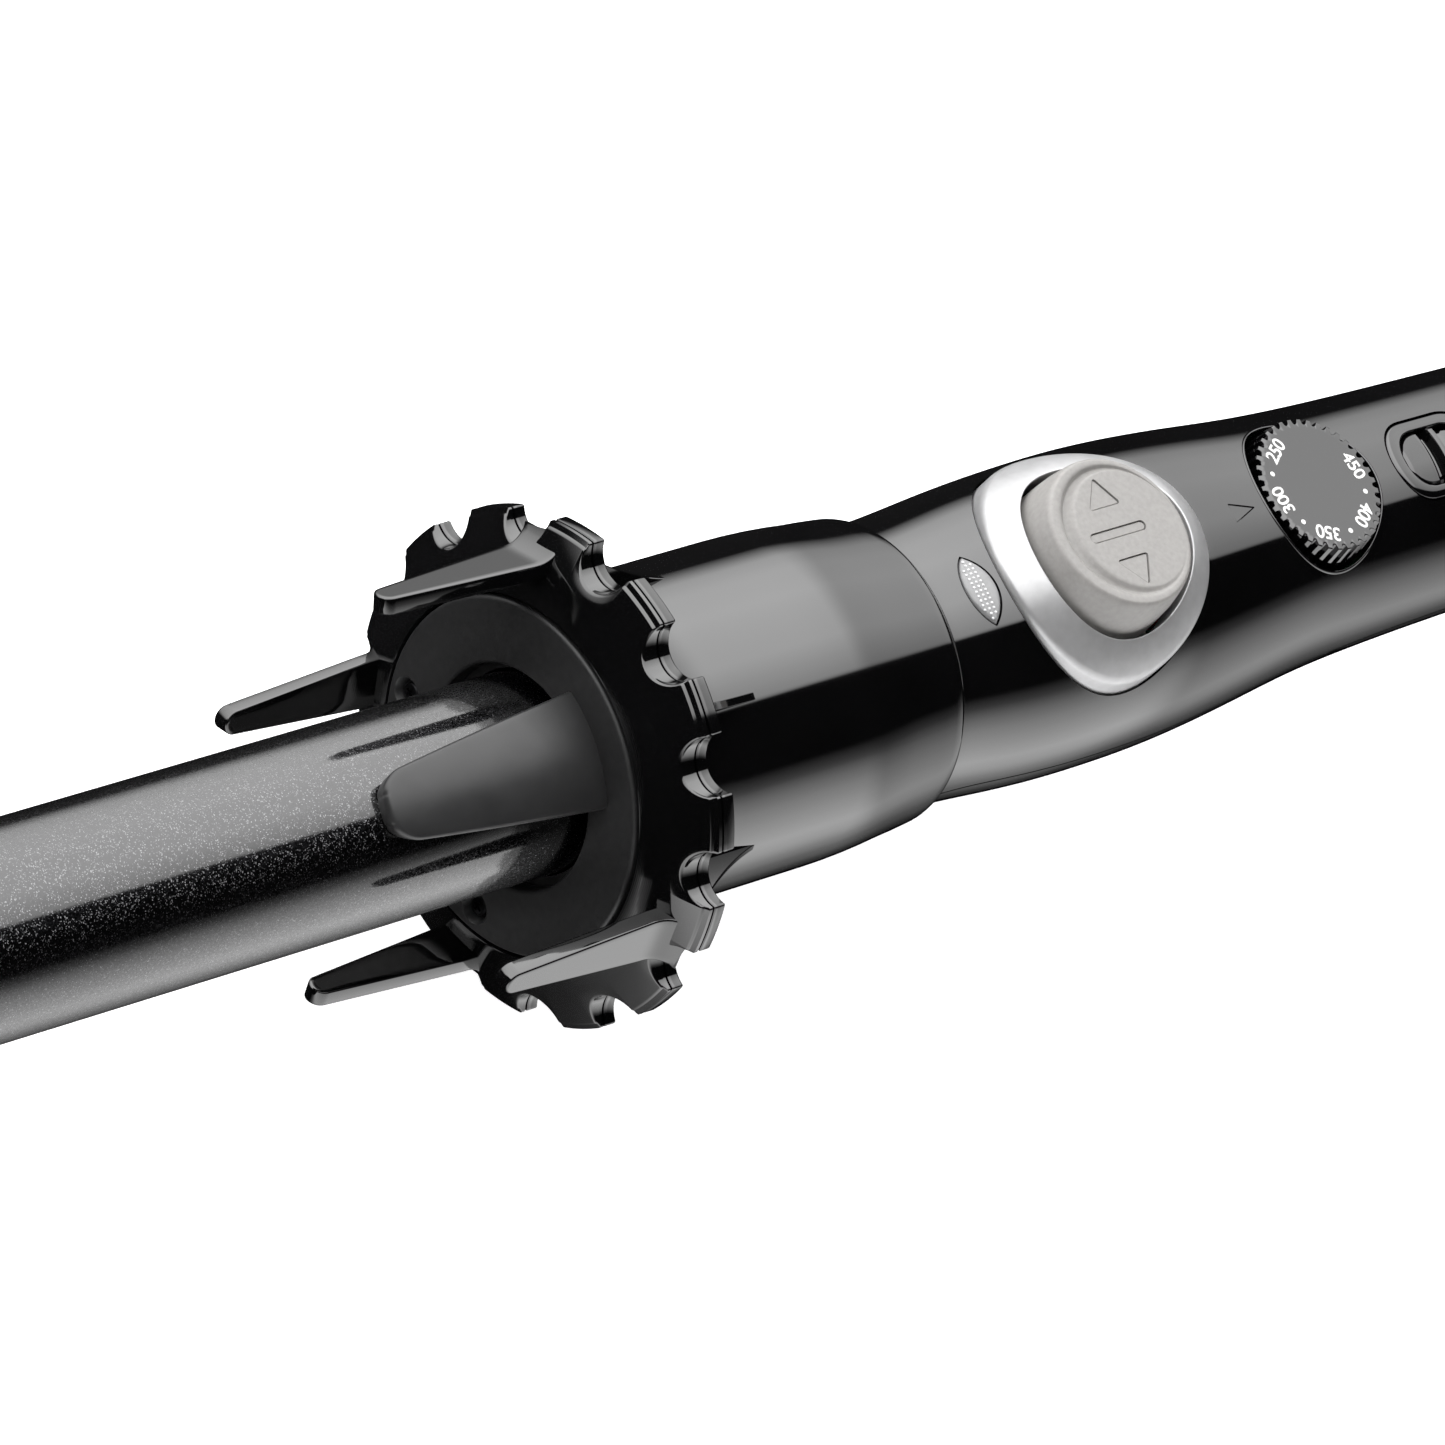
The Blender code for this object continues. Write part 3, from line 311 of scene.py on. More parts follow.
def glitter():
    """Black coating full of fine bright flakes under a clear gloss."""
    look = Look("barrel", (0.010, 0.010, 0.011), 0.30, metallic=1.0)
    cells = look.add("ShaderNodeTexVoronoi")
    cells.inputs["Scale"].default_value = 1 / FLAKE_SIZE
    look.link(look.place, cells.inputs["Vector"])
    tilt = look.vector("SUBTRACT", cells.outputs["Color"], (0.5, 0.5, 0.5))
    tilt = look.vector("MULTIPLY", tilt, (FLAKE_TILT, FLAKE_TILT, FLAKE_TILT))
    upright = look.add("ShaderNodeNewGeometry").outputs["Normal"]
    lean = look.vector("NORMALIZE", look.vector("ADD", upright, tilt))
    look.link(lean, look.shader.inputs["Normal"])
    pick = look.add("ShaderNodeSeparateColor")
    look.link(cells.outputs["Color"], pick.inputs[0])
    bright = look.ramp(pick.outputs[1], 0, 1, 0.86, 1.0)
    look.blend(bright, (0.010, 0.010, 0.011), (0.16, 0.16, 0.165))
    look.set("Coat Weight", 1.0).set("Coat Roughness", 0.08).set("Coat IOR", 1.85)
    return look.relief(look.noise(4200, 1), 0.00002, 0.2, "Coat Normal")


def turned_metal(name, colour, roughness):
    """Metal with fine marks across the wand."""
    look = Look(name, colour, roughness, metallic=1.0)
    look.mottle(300, 0.08).wear(400, roughness * 0.8, roughness * 1.2, 4, (6, 1, 1))
    return look.grain(900, 0.00001, 0.5, 3, (8, 1, 1))


LOOKS = {
    "gloss_black": gloss_black("gloss_black"),
    "ring_black": ring_black(),
    "barrel": glitter(),
    "matte_black": Look("matte_black", (0.012, 0.012, 0.0125), 0.5)
    .mottle(900, 0.12)
    .wear(700, 0.42, 0.55)
    .grain(3400, 0.00002, 0.5),
    "finger_black": Look("matte_black_smooth", (0.022, 0.022, 0.0225), 0.34, ior=1.6)
    .mottle(250, 0.10)
    .wear(300, 0.30, 0.38)
    .grain(2600, 0.00001, 0.35),
    "satin_silver": Look("satin_silver", (0.300, 0.290, 0.280), 0.42)
    .mottle(1500, 0.07)
    .wear(900, 0.36, 0.46)
    .grain(5200, 0.000008, 0.5),
    "satin_chrome": Look("satin_chrome", (0.52, 0.52, 0.525), 0.34, metallic=0.55)
    .mottle(700, 0.05)
    .wear(260, 0.30, 0.37)
    .grain(3800, 0.000006, 0.5),
    "clear_lens": Look("clear_lens", (0.24, 0.24, 0.243), 0.24)
    .set("Coat Weight", 0.6)
    .mottle(1200, 0.08)
    .grain(1400, 0.00003, 0.4),
    "lens_dots": Look("clear_lens_dots", (0.78, 0.78, 0.79), 0.18).mottle(900, 0.05),
    "white_print": Look("white_print", (0.80, 0.80, 0.79), 0.45)
    .mottle(3000, 0.04)
    .grain(6000, 0.000004, 0.4),
    "steel": turned_metal("steel", (0.50, 0.50, 0.51), 0.30),
    "black_steel": turned_metal("black_steel", (0.030, 0.030, 0.032), 0.36),
    "aluminium": turned_metal("aluminium", (0.66, 0.66, 0.68), 0.36),
    "brass": turned_metal("brass", (0.62, 0.45, 0.19), 0.30),
    "ceramic": Look("ceramic", (0.72, 0.69, 0.63), 0.6)
    .mottle(500, 0.08)
    .grain(2200, 0.00003, 0.6, 4),
    "natural_plastic": Look("natural_plastic", (0.68, 0.66, 0.58), 0.45)
    .set("Subsurface Weight", 0.08)
    .set("Subsurface Radius", (0.001, 0.001, 0.001))
    .mottle(200, 0.05)
    .grain(1800, 0.00001, 0.4),
    "board_green": Look("board_green", (0.018, 0.11, 0.045), 0.35)
    .mottle(350, 0.35, 2, (1, 5, 1))
    .grain(600, 0.00003, 0.4, 1, (1, 6, 1)),
    "lead_red": Look("lead_red", (0.34, 0.03, 0.03), 0.48)
    .mottle(400, 0.12)
    .grain(3000, 0.00001, 0.4),
}


# ---------------------------------------------------------------- shape tools


def skin(rings, wrap=False, first=True, last=True):
    """A surface over closed rings of equally many points, which it caps unless it wraps round."""
    rings = [np.asarray(ring, float) for ring in rings]
    count = len(rings[0])
    form = bmesh.new()
    rows = [[form.verts.new(point) for point in ring] for ring in rings]
    pairs = list(zip(rows, rows[1:]))
    if wrap:
        pairs.append((rows[-1], rows[0]))
    for here, there in pairs:
        for i in range(count):
            j = (i + 1) % count
            form.faces.new((here[i], here[j], there[j], there[i]))
    if not wrap and first:
        form.faces.new(rows[0])
    if not wrap and last:
        form.faces.new(rows[-1])
    bmesh.ops.remove_doubles(form, verts=form.verts, dist=0.000002)
    bmesh.ops.recalc_face_normals(form, faces=form.faces)
    return form


def add_object(name, form, angle=32):
    mesh = bpy.data.meshes.new(name)
    form.to_mesh(mesh)
    form.free()
    mesh.shade_smooth()
    mesh.set_sharp_from_angle(angle=radians(angle))
    body = bpy.data.objects.new(name, mesh)
    bpy.context.scene.collection.objects.link(body)
    return body


def cut(body, *cutters):
    """Takes cutters out of a body, for good."""
    for number, cutter in enumerate(cutters):
        tool = add_object(f"{body.name}_cutter_{number}", cutter)
        step = body.modifiers.new("cut", "BOOLEAN")
        step.operation = "DIFFERENCE"
        step.solver = "EXACT"
        step.object = tool
        bpy.context.view_layer.update()
        graph = bpy.context.evaluated_depsgraph_get()
        mesh = bpy.data.meshes.new_from_object(body.evaluated_get(graph))
        body.modifiers.clear()
        body.data = mesh
        bpy.data.objects.remove(tool)
    body.data.set_sharp_from_angle(angle=radians(32))
    return body


def dress(body, part, slot, stands_for=(), look=None):
    """Gives a piece its finish and puts it on its CAD body."""
    body.data.materials.clear()
    body.data.materials.append(LOOKS[look or slot].material)
    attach(body, part)
    if stands_for:
        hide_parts(*stands_for)
    return body


def piece(name, form, part, slot, stands_for=(), look=None, angle=32):
    return dress(add_object(name, form, angle), part, slot, stands_for, look)


def spoke(degrees):
    """The direction square to the wand at an angle from +Z towards +Y."""
    return np.array((0, sin(radians(degrees)), cos(radians(degrees))))


def turned(profile, steps=144, centre_z=0.0, wrap=False):
    """Rings about a line along X, from (station, radius) points."""
    angles = np.linspace(0, 2 * pi, steps, endpoint=False)
    rings = []
    for station, radius in profile:
        y = radius * np.sin(angles)
        z = radius * np.cos(angles) + centre_z
        rings.append(np.column_stack((np.full(steps, station), y, z)))
    return skin(rings, wrap)


def corner(centre, radius, start, end, count=6):
    """Points of a rounded corner, from one angle to another in degrees."""
    angles = np.radians(np.linspace(start, end, count))
    return [(centre[0] + radius * cos(a), centre[1] + radius * sin(a)) for a in angles]


def oval(length, width, count=28):
    """A slot outline with round ends, long along its first axis."""
    reach = (length - width) / 2
    right = corner((reach, 0), width / 2, -90, 90, count)
    left = corner((-reach, 0), width / 2, 90, 270, count)
    return np.array(right + left)


def outward(outline):
    """Unit normals of a closed outline that runs anticlockwise."""
    along = np.roll(outline, -1, axis=0) - np.roll(outline, 1, axis=0)
    along /= np.linalg.norm(along, axis=1)[:, None]
    return np.column_stack((along[:, 1], -along[:, 0]))


def rounding(radius, start, end, count):
    """Steps round an edge: how far inside the outline and how far below the face each lies."""
    turns = np.radians(np.linspace(start, end, count))
    return [(radius * (1 - sin(turn)), radius * (1 - cos(turn))) for turn in turns]


def plate(outline, ends, lay, rim, base, top, under, steps):
    """A plate with rounded edges, closed over a line between two ends along its middle."""
    core = np.column_stack((np.clip(outline[:, 0], *ends), np.zeros(len(outline))))
    normals = outward(outline)
    above, below = outline - normals * rim - core, outline - normals * base - core
    rings = [lay(core + above * share, 0, False) for share in top]
    rings += [lay(outline - normals * a, b, False) for a, b in rounding(rim, 0, 90, steps)]
    rings += [lay(outline - normals * a, b, True) for a, b in rounding(base, 90, 0, 4)]
    rings += [lay(core + below * share, 0, True) for share in under]
    return skin(rings, first=False, last=False)


def bend(start, turn, end, t):
    """A point of the curve that leaves one point for a corner and arrives at another."""
    return start * (1 - t) ** 2 + turn * 2 * t * (1 - t) + end * t**2


def rounded_polygon(corners, radius, count=7):
    """An anticlockwise outline whose corners are rounded."""
    points = []
    corners = [np.array(c, float) for c in corners]
    for i, here in enumerate(corners):
        before = corners[i - 1] - here
        after = corners[(i + 1) % len(corners)] - here
        before /= np.linalg.norm(before)
        after /= np.linalg.norm(after)
        half = np.arccos(np.clip(before @ after, -1, 1)) / 2
        inset = radius / np.tan(half)
        start, end = here + before * inset, here + after * inset
        points += [bend(start, here, end, t) for t in np.linspace(0, 1, count)]
    return np.array(points)


# ---------------------------------------------------------------- handle surface


def natural_spline(points):
    """A smooth curve through points, as a function."""
    x, y = np.array(points, float).T
    step = np.diff(x)
    count = len(x)
    matrix = np.eye(count)
    right = np.zeros(count)
    for i in range(1, count - 1):
        matrix[i, i - 1 : i + 2] = (step[i - 1], 2 * (step[i - 1] + step[i]), step[i])
        right[i] = 6 * ((y[i + 1] - y[i]) / step[i] - (y[i] - y[i - 1]) / step[i - 1])
    bend = np.linalg.solve(matrix, right)

    def curve(value):
        value = np.clip(value, x[0], x[-1])
        i = np.clip(np.searchsorted(x, value) - 1, 0, count - 2)
        a, b = (x[i + 1] - value) / step[i], (value - x[i]) / step[i]
        lift = ((a**3 - a) * bend[i] + (b**3 - b) * bend[i + 1]) * step[i] ** 2 / 6
        return a * y[i] + b * y[i + 1] + lift

    return curve


handle_radius = natural_spline(HANDLE_PROFILE)


def rise(reach):
    """How far the handle's centre line stands above the barrel's axis."""
    share = np.clip((reach - RISE_START) / (RISE_END - RISE_START), 0, 1)
    return HANDLE_RISE * share * share * (3 - 2 * share)


def on_handle(x, y, grow=0.0):
    """Height of the handle's upper surface, or of one that stands proud of it."""
    reach = np.asarray(x) - DISC
    return rise(reach) + np.sqrt((handle_radius(reach) + grow) ** 2 - np.asarray(y) ** 2)


def draped(outline, grow):
    """An outline seen from above, laid on the handle's surface."""
    x, y = np.asarray(outline)[:, 0], np.asarray(outline)[:, 1]
    return np.column_stack((x, y, on_handle(x, y, grow)))


def level(outline, z):
    return np.column_stack((outline, np.full(len(outline), z)))


def circle(centre_x, radius, count=128):
    angles = np.linspace(0, 2 * pi, count, endpoint=False)
    return np.column_stack((centre_x + radius * np.cos(angles), radius * np.sin(angles)))


# ---------------------------------------------------------------- barrel, tip, disc and finger


def make_barrel():
    bore = BARREL_RADIUS - BARREL_WALL
    edge = 0.0003
    profile = [
        (BARREL_END, bore),
        (BARREL_END, BARREL_RADIUS),
        (BARREL_START + edge, BARREL_RADIUS),
        (BARREL_START + edge / 3, BARREL_RADIUS - edge / 3),
        (BARREL_START, BARREL_RADIUS - edge),
        (BARREL_START, bore),
    ]
    form = turned(profile, 192, wrap=True)
    piece("barrel_skin", form, "wand", "barrel", ["barrel_tube"])

    front = BARREL_START - GAP
    spigot = bore - GAP
    tip_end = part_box("cool_tip")[1].x
    edge = 0.0004
    profile = [(tip_end, 0.00001), (tip_end, spigot - edge), (tip_end - edge, spigot)]
    profile += [(front, spigot), (front, BARREL_RADIUS - edge), (front - edge, BARREL_RADIUS)]
    for groove in (0.0104, 0.0088):
        for step, depth in ((0.0004, 0), (0.0002, 0.0003), (-0.0002, 0.0003), (-0.0004, 0)):
            profile.append((groove + step, BARREL_RADIUS - depth))
    profile += corner((TIP_ROUND, BARREL_RADIUS - TIP_ROUND), TIP_ROUND, 90, 180, 12)
    profile += [(0, 0.0076), (0.0003, 0.0073), (0.0003, 0.0066), (0, 0.0063), (0, 0.00001)]
    piece("cool_tip_skin", turned(profile, 128), "wand", "matte_black", ["cool_tip"])


def screw_form(place, radius, head, end, shank):
    """A round-headed screw along a placed +Z, with its head at the start."""
    profile = [(0, 0.00001), (0, radius * 0.62), (head * 0.16, radius * 0.88)]
    profile += [(head * 0.5, radius), (head, radius), (head, shank), (end - shank, shank)]
    profile += [(end, 0.00001)]
    rings = []
    for depth, wide in profile:
        rings.append([place @ Vector((x, y, depth)) for x, y in circle(0, wide, 40)])
    return skin(rings)


def cross_form(place, radius, depth):
    """The cross-shaped driver recess."""
    arm, half = radius * 0.62, radius * 0.17
    outline = []
    for turn in range(4):
        a = turn * pi / 2
        for u, v in ((arm, -half), (arm, half), (half, half)):
            outline.append((u * cos(a) - v * sin(a), u * sin(a) + v * cos(a)))
    rings = []
    for z, scale in ((-depth, 1.0), (depth, 0.7)):
        rings.append([place @ Vector((x * scale, y * scale, z)) for x, y in outline])
    return skin(rings)


def make_screw(node, head, direction, look="steel"):
    low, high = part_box(node)
    axis = max(range(3), key=lambda i: abs(direction[i]))
    radius = max(half_size(node)[i] for i in range(3) if i != axis)
    start = middle(node)
    start[axis] = low[axis]
    turn = Vector(direction).to_track_quat("Z", "Y").to_matrix().to_4x4()
    place = Matrix.Translation(start) @ turn
    form = screw_form(place, radius, head, high[axis] - low[axis], radius * 0.52)
    body = add_object(node + "_skin", form)
    cut(body, cross_form(place, radius, head * 0.7))
    dress(body, "wand", "steel", [node], look)


def make_disc():
    edge = 0.0005
    inner = DISC_BORE
    profile = [(DISC + DISC_BACK, inner), (DISC + DISC_BACK, DISC_RADIUS)]
    profile += corner((DISC + edge, DISC_RADIUS - edge), edge, 90, 180, 6)
    profile += corner((DISC + edge, inner + edge), edge, 180, 270, 6)
    body = add_object("disc_skin", turned(profile, 192, wrap=True))
    recesses = []
    for number in (1, 2):
        centre = middle(f"disc_screw_{number}")
        wide = half_size(f"disc_screw_{number}").y + GAP
        rings = []
        for depth, grow in ((-0.001, 0.0016), (0.0002, 0.0004), (0.0016, 0)):
            outline = circle(centre.y, wide + grow, 48) + (0, centre.z)
            rings.append(np.column_stack((np.full(48, DISC + depth), outline)))
        recesses.append(skin(rings))
    cut(body, *recesses)
    dress(body, "wand", "matte_black", ["front_disc"])
    for number in (1, 2):
        make_screw(f"disc_screw_{number}", DISC_SCREW_HEAD, (1, 0, 0), "black_steel")


finger_drop = natural_spline(
    ((-0.0305, 0.0034), (-0.0285, 0.0021), (-0.0250, 0.0012), (-0.0200, 0.0006), (-0.0010, 0.0))
)


def make_finger():
    """An arched strip that stands off the barrel, with a blunt end and soft edges."""
    tip = -FINGER_LENGTH + 0.0002
    start = tip + FINGER_CORNER
    root = DISC_BACK - GAP
    narrowing = FINGER_TIP_HALF - FINGER_ROOT_HALF
    side = [(start * t, FINGER_ROOT_HALF + narrowing * t) for t in np.linspace(0, 1, 26)]
    blunt = FINGER_TIP_HALF - FINGER_CORNER
    outline = [(root, -FINGER_ROOT_HALF), (root, FINGER_ROOT_HALF)] + side
    outline += corner((start, blunt), FINGER_CORNER, 90, 180, 16)[1:]
    outline += [(tip - 0.0002 * cos(a), -blunt * sin(a)) for a in np.linspace(-1.3, 1.3, 9)]
    outline += corner((start, -blunt), FINGER_CORNER, 180, 270, 16)[:-1]
    outline += [(x, -v) for x, v in side[::-1]]

    def lay(plan, depth, low):
        x, v = plan[:, 0], plan[:, 1]
        radius = FINGER_RADIUS - finger_drop(x) - (FINGER_THICKNESS - depth if low else depth)
        turn = radians(FINGER_ANGLE) + v / FINGER_RADIUS
        return np.column_stack((DISC + x, radius * np.sin(turn), radius * np.cos(turn)))

    ends = (tip + FINGER_TIP_HALF, root)
    top, under = (0, 0.35, 0.7, 0.9), (0.7, 0.35, 0)
    form = plate(np.array(outline), ends, lay, 0.0006, 0.0004, top, under, 7)
    node = "guard_finger"
    piece(node + "_skin", form, "wand", "matte_black", [node], "finger_black", 50)


# ---------------------------------------------------------------- toothed dial


def toothed(tip_radius):
    """The dial's (y, z) outline: teeth with round scallops between them."""
    pitch = 360 / TEETH
    near = (tip_radius**2 + NOTCH_CENTRE**2 - NOTCH_RADIUS**2) / (2 * tip_radius * NOTCH_CENTRE)
    spread = np.degrees(np.arccos(near))
    points = []
    for tooth in range(TEETH):
        left = TOOTH_PHASE + (tooth - 0.5) * pitch + spread
        right = TOOTH_PHASE + (tooth + 0.5) * pitch - spread
        hub = spoke(TOOTH_PHASE + (tooth + 0.5) * pitch)[1:] * NOTCH_CENTRE
        trim = np.degrees(TOOTH_CORNER / tip_radius)
        tips = [spoke(a)[1:] * tip_radius for a in np.linspace(left + trim, right - trim, 9)]
        corner_point = spoke(right)[1:] * tip_radius
        start = corner_point - hub
        inward = np.arctan2(-hub[1], -hub[0])
        swing = (np.arctan2(start[1], start[0]) - inward + pi) % (2 * pi) - pi
        swing -= np.sign(swing) * TOOTH_CORNER / NOTCH_RADIUS
        turns = np.linspace(inward + swing, inward - swing, 21)
        arc = [hub + NOTCH_RADIUS * np.array((cos(a), sin(a))) for a in turns]
        next_corner = spoke(right + 2 * spread)[1:] * tip_radius
        next_tip = spoke(right + 2 * spread + trim)[1:] * tip_radius
        points += tips
        points += [bend(tips[-1], corner_point, arc[0], t) for t in (0.25, 0.5, 0.75)]
        points += arc
        points += [bend(arc[-1], next_corner, next_tip, t) for t in (0.25, 0.5, 0.75)]
    return np.array(points)


def across(outline, reach):
    """An outline square to the wand, at one reach or at one for each point."""
    x = np.full(len(outline), DISC) + reach
    return np.column_stack((x, outline))


def at_radius(outline, radius):
    return outline / np.linalg.norm(outline, axis=1)[:, None] * radius


def inset(outline, depth):
    normals = outward(outline)
    if ((outline * normals).sum(axis=1)).mean() < 0:
        normals = -normals
    return outline - normals * depth


def slope_reach(outline):
    """Reach of the ring's sloping front face at each point of an outline."""
    start = RING_BORE + 0.0002
    share = (np.linalg.norm(outline, axis=1) - start) / (RING_FRONT_RADIUS - start)
    return GAP + (RING_FRONT - GAP) * share


def make_ring():
    front = toothed(RING_FRONT_RADIUS)
    rim = toothed(RING_RADIUS)
    rings = [across(at_radius(rim, RING_BORE), reach) for reach in (RING_BACK, 0.0006)]
    for radius in (RING_BORE + 0.0001, RING_BORE + 0.0003, 0.0245, 0.0262, 0.0274):
        flat = at_radius(front, radius)
        rings.append(across(flat, np.maximum(slope_reach(flat), 0.00035)))
    for shrink, depth in rounding(0.0003, 0, 90, 5):
        lip = inset(front, shrink)
        rings.append(across(lip, slope_reach(lip) + depth))
    soft = 0.00012
    rings += [across(rim, reach) for reach in (RING_RIM, RING_RIM + 0.0001, RING_BACK - soft)]
    rings.append(across(inset(rim, soft), RING_BACK))
    form = skin(rings, wrap=True)
    piece("dial_ring_skin", form, "curl_dial", "gloss_black", ["dial_front_ring"], "ring_black", 38)


def make_sleeve():
    rim = toothed(RING_RADIUS)
    soft = 0.00012
    rings = [
        across(at_radius(rim, SLEEVE_BORE), FLANGE_FRONT),
        across(inset(rim, soft), FLANGE_FRONT),
        across(rim, FLANGE_FRONT + soft),
        across(rim, FLANGE_BACK - 2 * soft),
        across(inset(rim, 0.6 * soft), FLANGE_BACK - 0.6 * soft),
        across(inset(rim, 2 * soft), FLANGE_BACK),
    ]
    rings.append(across(at_radius(rim, 0.0250), FLANGE_BACK))
    profile = corner((FLANGE_BACK + 0.0008, SLEEVE_RADIUS + 0.0008), 0.0008, 180, 270, 6)
    profile += [
        (0.0200, SLEEVE_RADIUS),
        (0.0400, SLEEVE_RADIUS),
        (0.0430, 0.02095),
        (0.0460, 0.02082),
        (0.0490, 0.0206),
        (0.0520, 0.0203),
        (0.0545, 0.0201),
        (0.0565, 0.01990),
        (0.0576, 0.01978),
        (0.0580, 0.01965),
    ]
    profile += [(SLEEVE_END, 0.01945), (SLEEVE_END, SLEEVE_BORE + 0.0001)]
    profile += [(SLEEVE_END - 0.0002, SLEEVE_BORE)]
    for reach, radius in profile:
        rings.append(across(at_radius(rim, radius), reach))
    form = skin(rings, wrap=True)
    piece("dial_sleeve_skin", form, "curl_dial", "gloss_black", ["dial_sleeve"], angle=38)


def make_prong(number, angle):
    """A flat-topped prong that springs from the root of a tooth."""
    radial, side = spoke(angle), spoke(angle + 90)
    start = PRONG_TIP_HALF - PRONG_LENGTH
    root = RING_FRONT + GAP
    along = np.linspace(root, start, 44)
    widening = PRONG_ROOT_HALF - PRONG_TIP_HALF
    half = PRONG_TIP_HALF + widening * np.minimum(1 - along / start, 1)
    half += np.clip((along - 0.0005) / (root - 0.0005), 0, 1) ** 3 * 0.00020
    edge = list(zip(along, half))
    outline = edge + corner((start, 0), PRONG_TIP_HALF, 90, 270, 25)[1:-1]
    outline += [(x, -w) for x, w in edge[::-1]]

    def lay(plan, depth, low):
        x, v = plan[:, 0], plan[:, 1]
        lift = np.clip((x + 0.0005) / (root + 0.0005), 0, 1) ** 3.5 * PRONG_LIFT
        lean = tan(radians(PRONG_LEAN)) * v * (1 if radial[1] > 0 else -1)
        height = PRONG_TOP + lift - depth + lean
        if low:
            height = np.full(len(x), PRONG_BOTTOM + depth)
        return np.outer(DISC + x, (1, 0, 0)) + np.outer(height, radial) + np.outer(v, side)

    top, under = (0, 0.4, 0.8), (0.5, 0)
    form = plate(np.array(outline), (start, root), lay, 0.0003, 0.0002, top, under, 6)
    piece(f"prong_{number}", form, "curl_dial", "gloss_black", angle=50)


def make_gusset(number, angle):
    """A thin web with a hollow edge between the flange and the sleeve."""
    radial, side = spoke(angle), spoke(angle + 90)
    foot = SLEEVE_RADIUS - 0.0004
    steps = np.linspace(0, 1, 28)
    reach = FLANGE_BACK + (GUSSET_END - FLANGE_BACK) * steps
    crest = foot + 0.0003 * (1 - steps) + (GUSSET_RADIUS - foot - 0.0003) * (1 - steps) ** 1.65
    outline = [(FLANGE_BACK - 0.0002, foot)]
    outline += [(GUSSET_END, foot)]
    outline += list(zip(reach[::-1][1:], crest[::-1][1:]))
    outline += [(FLANGE_BACK - 0.0002, GUSSET_RADIUS)]
    outline = np.array(outline)
    soft = 0.00008
    rings = []
    for inward, width in ((soft, -1.0), (0, -0.85), (0, 0.85), (soft, 1.0)):
        plan = outline.copy()
        plan[:, 1] -= inward
        flat = np.outer(DISC + plan[:, 0], (1, 0, 0)) + np.outer(plan[:, 1], radial)
        rings.append(flat + side * GUSSET_HALF * width)
    piece(f"dial_gusset_{number}", skin(rings), "curl_dial", "gloss_black", angle=40)


# ---------------------------------------------------------------- handle


def lens_outline(grow):
    """A pointed oval, long across the wand."""
    long_half = LENS_HALF_LENGTH + grow
    wide_half = LENS_HALF_WIDTH + grow
    radius = (long_half**2 + wide_half**2) / (2 * wide_half)
    spread = np.degrees(np.arcsin(long_half / radius))
    right = corner((wide_half - radius, 0), radius, -spread, spread, 33)
    left = [(-x, -y) for x, y in right]
    return np.array(right[:-1] + left[:-1]) + (LENS, 0)


def index_outline():
    """The small pointer between the rocker and the dial."""
    base, apex = DISC + 0.1089, DISC + 0.1132
    return rounded_polygon([(base, -0.0021), (apex, -0.0007), (base, 0.0007)], 0.00012, 4)


def handle_shell(name, side, steps=100):
    """One half of the handle, closed along its flat edges."""

    def skin_radius(reach):
        return float(handle_radius(reach))

    end_round = 0.0030
    last = HANDLE_LENGTH - end_round
    hole = SWIVEL_NECK + GAP
    inner_end = HANDLE_LENGTH - 0.0035
    profile = [(HANDLE_FRONT, skin_radius(HANDLE_FRONT) - 0.0006)]
    profile += [(HANDLE_FRONT + 0.0002, skin_radius(HANDLE_FRONT) - 0.0002)]
    along = np.arange(HANDLE_FRONT + 0.0006, last - 0.0002, 0.0012)
    profile += [(reach, skin_radius(reach)) for reach in along]
    profile += corner((last, skin_radius(last) - 0.0001 - end_round), end_round, 90, 0, 9)
    profile += [(HANDLE_LENGTH, hole + 0.0004), (HANDLE_LENGTH - 0.0004, hole)]
    profile += [(inner_end, hole)]
    back = [*np.arange(inner_end, 0.0600, -0.006), 0.0595]
    profile += [(reach, skin_radius(reach) - HANDLE_WALL) for reach in back]
    profile += [(0.0595, HANDLE_BORE), (HANDLE_FRONT, HANDLE_BORE)]
    reach, radius = np.array(profile).T
    rings = []
    for angle in np.radians(np.linspace(-90, 90, steps + 1)):
        y = radius * sin(angle)
        z = np.maximum(radius * cos(angle), GAP / 2) * side
        rings.append(np.column_stack((DISC + reach, y * side, z + rise(reach))))
    return add_object(name, skin(rings), 32)


def make_handle():
    upper = handle_shell("handle_upper_skin", 1)
    sky = 0.0300
    cutters = [
        skin([level(outline, floor), level(outline, sky)])
        for outline, floor in (
            (circle(ROCKER, BEZEL_RADIUS + GAP, 128), 0.0040),
            (circle(DIAL, DIAL_RADIUS + GAP, 112), 0.0080),
            (lens_outline(GAP), 0.0080),
            (oval(POWER_LENGTH + 2 * GAP, POWER_WIDTH + 2 * GAP) + (POWER, 0), 0.0080),
        )
    ]
    pointer = index_outline()
    cutters.append(skin([draped(pointer, -0.0010), draped(pointer, 0.0010)]))
    cut(upper, *cutters)
    dress(upper, "wand", "gloss_black", ["handle_upper_shell"])
    heart = inset_plan(pointer, 0.00016)
    heart = skin([draped(heart, -0.0011), draped(heart, -0.00012)])
    piece("dial_pointer", heart, "wand", "gloss_black")

    lower = handle_shell("handle_lower_skin", -1)
    screws = [f"handle_screw_{number}" for number in (1, 2, 3)]
    ways = []
    for node in screws:
        outline = circle(middle(node).x, half_size(node).x + GAP, 48)
        ways.append(skin([level(outline, -sky), level(outline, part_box(node)[0].z + 0.0030)]))
    cut(lower, *ways)
    dress(lower, "wand", "gloss_black", ["handle_lower_shell"])
    for number, node in enumerate(screws, 1):
        make_screw(node, HANDLE_SCREW_HEAD, (0, 0, 1))
        make_screw_well(number, node)


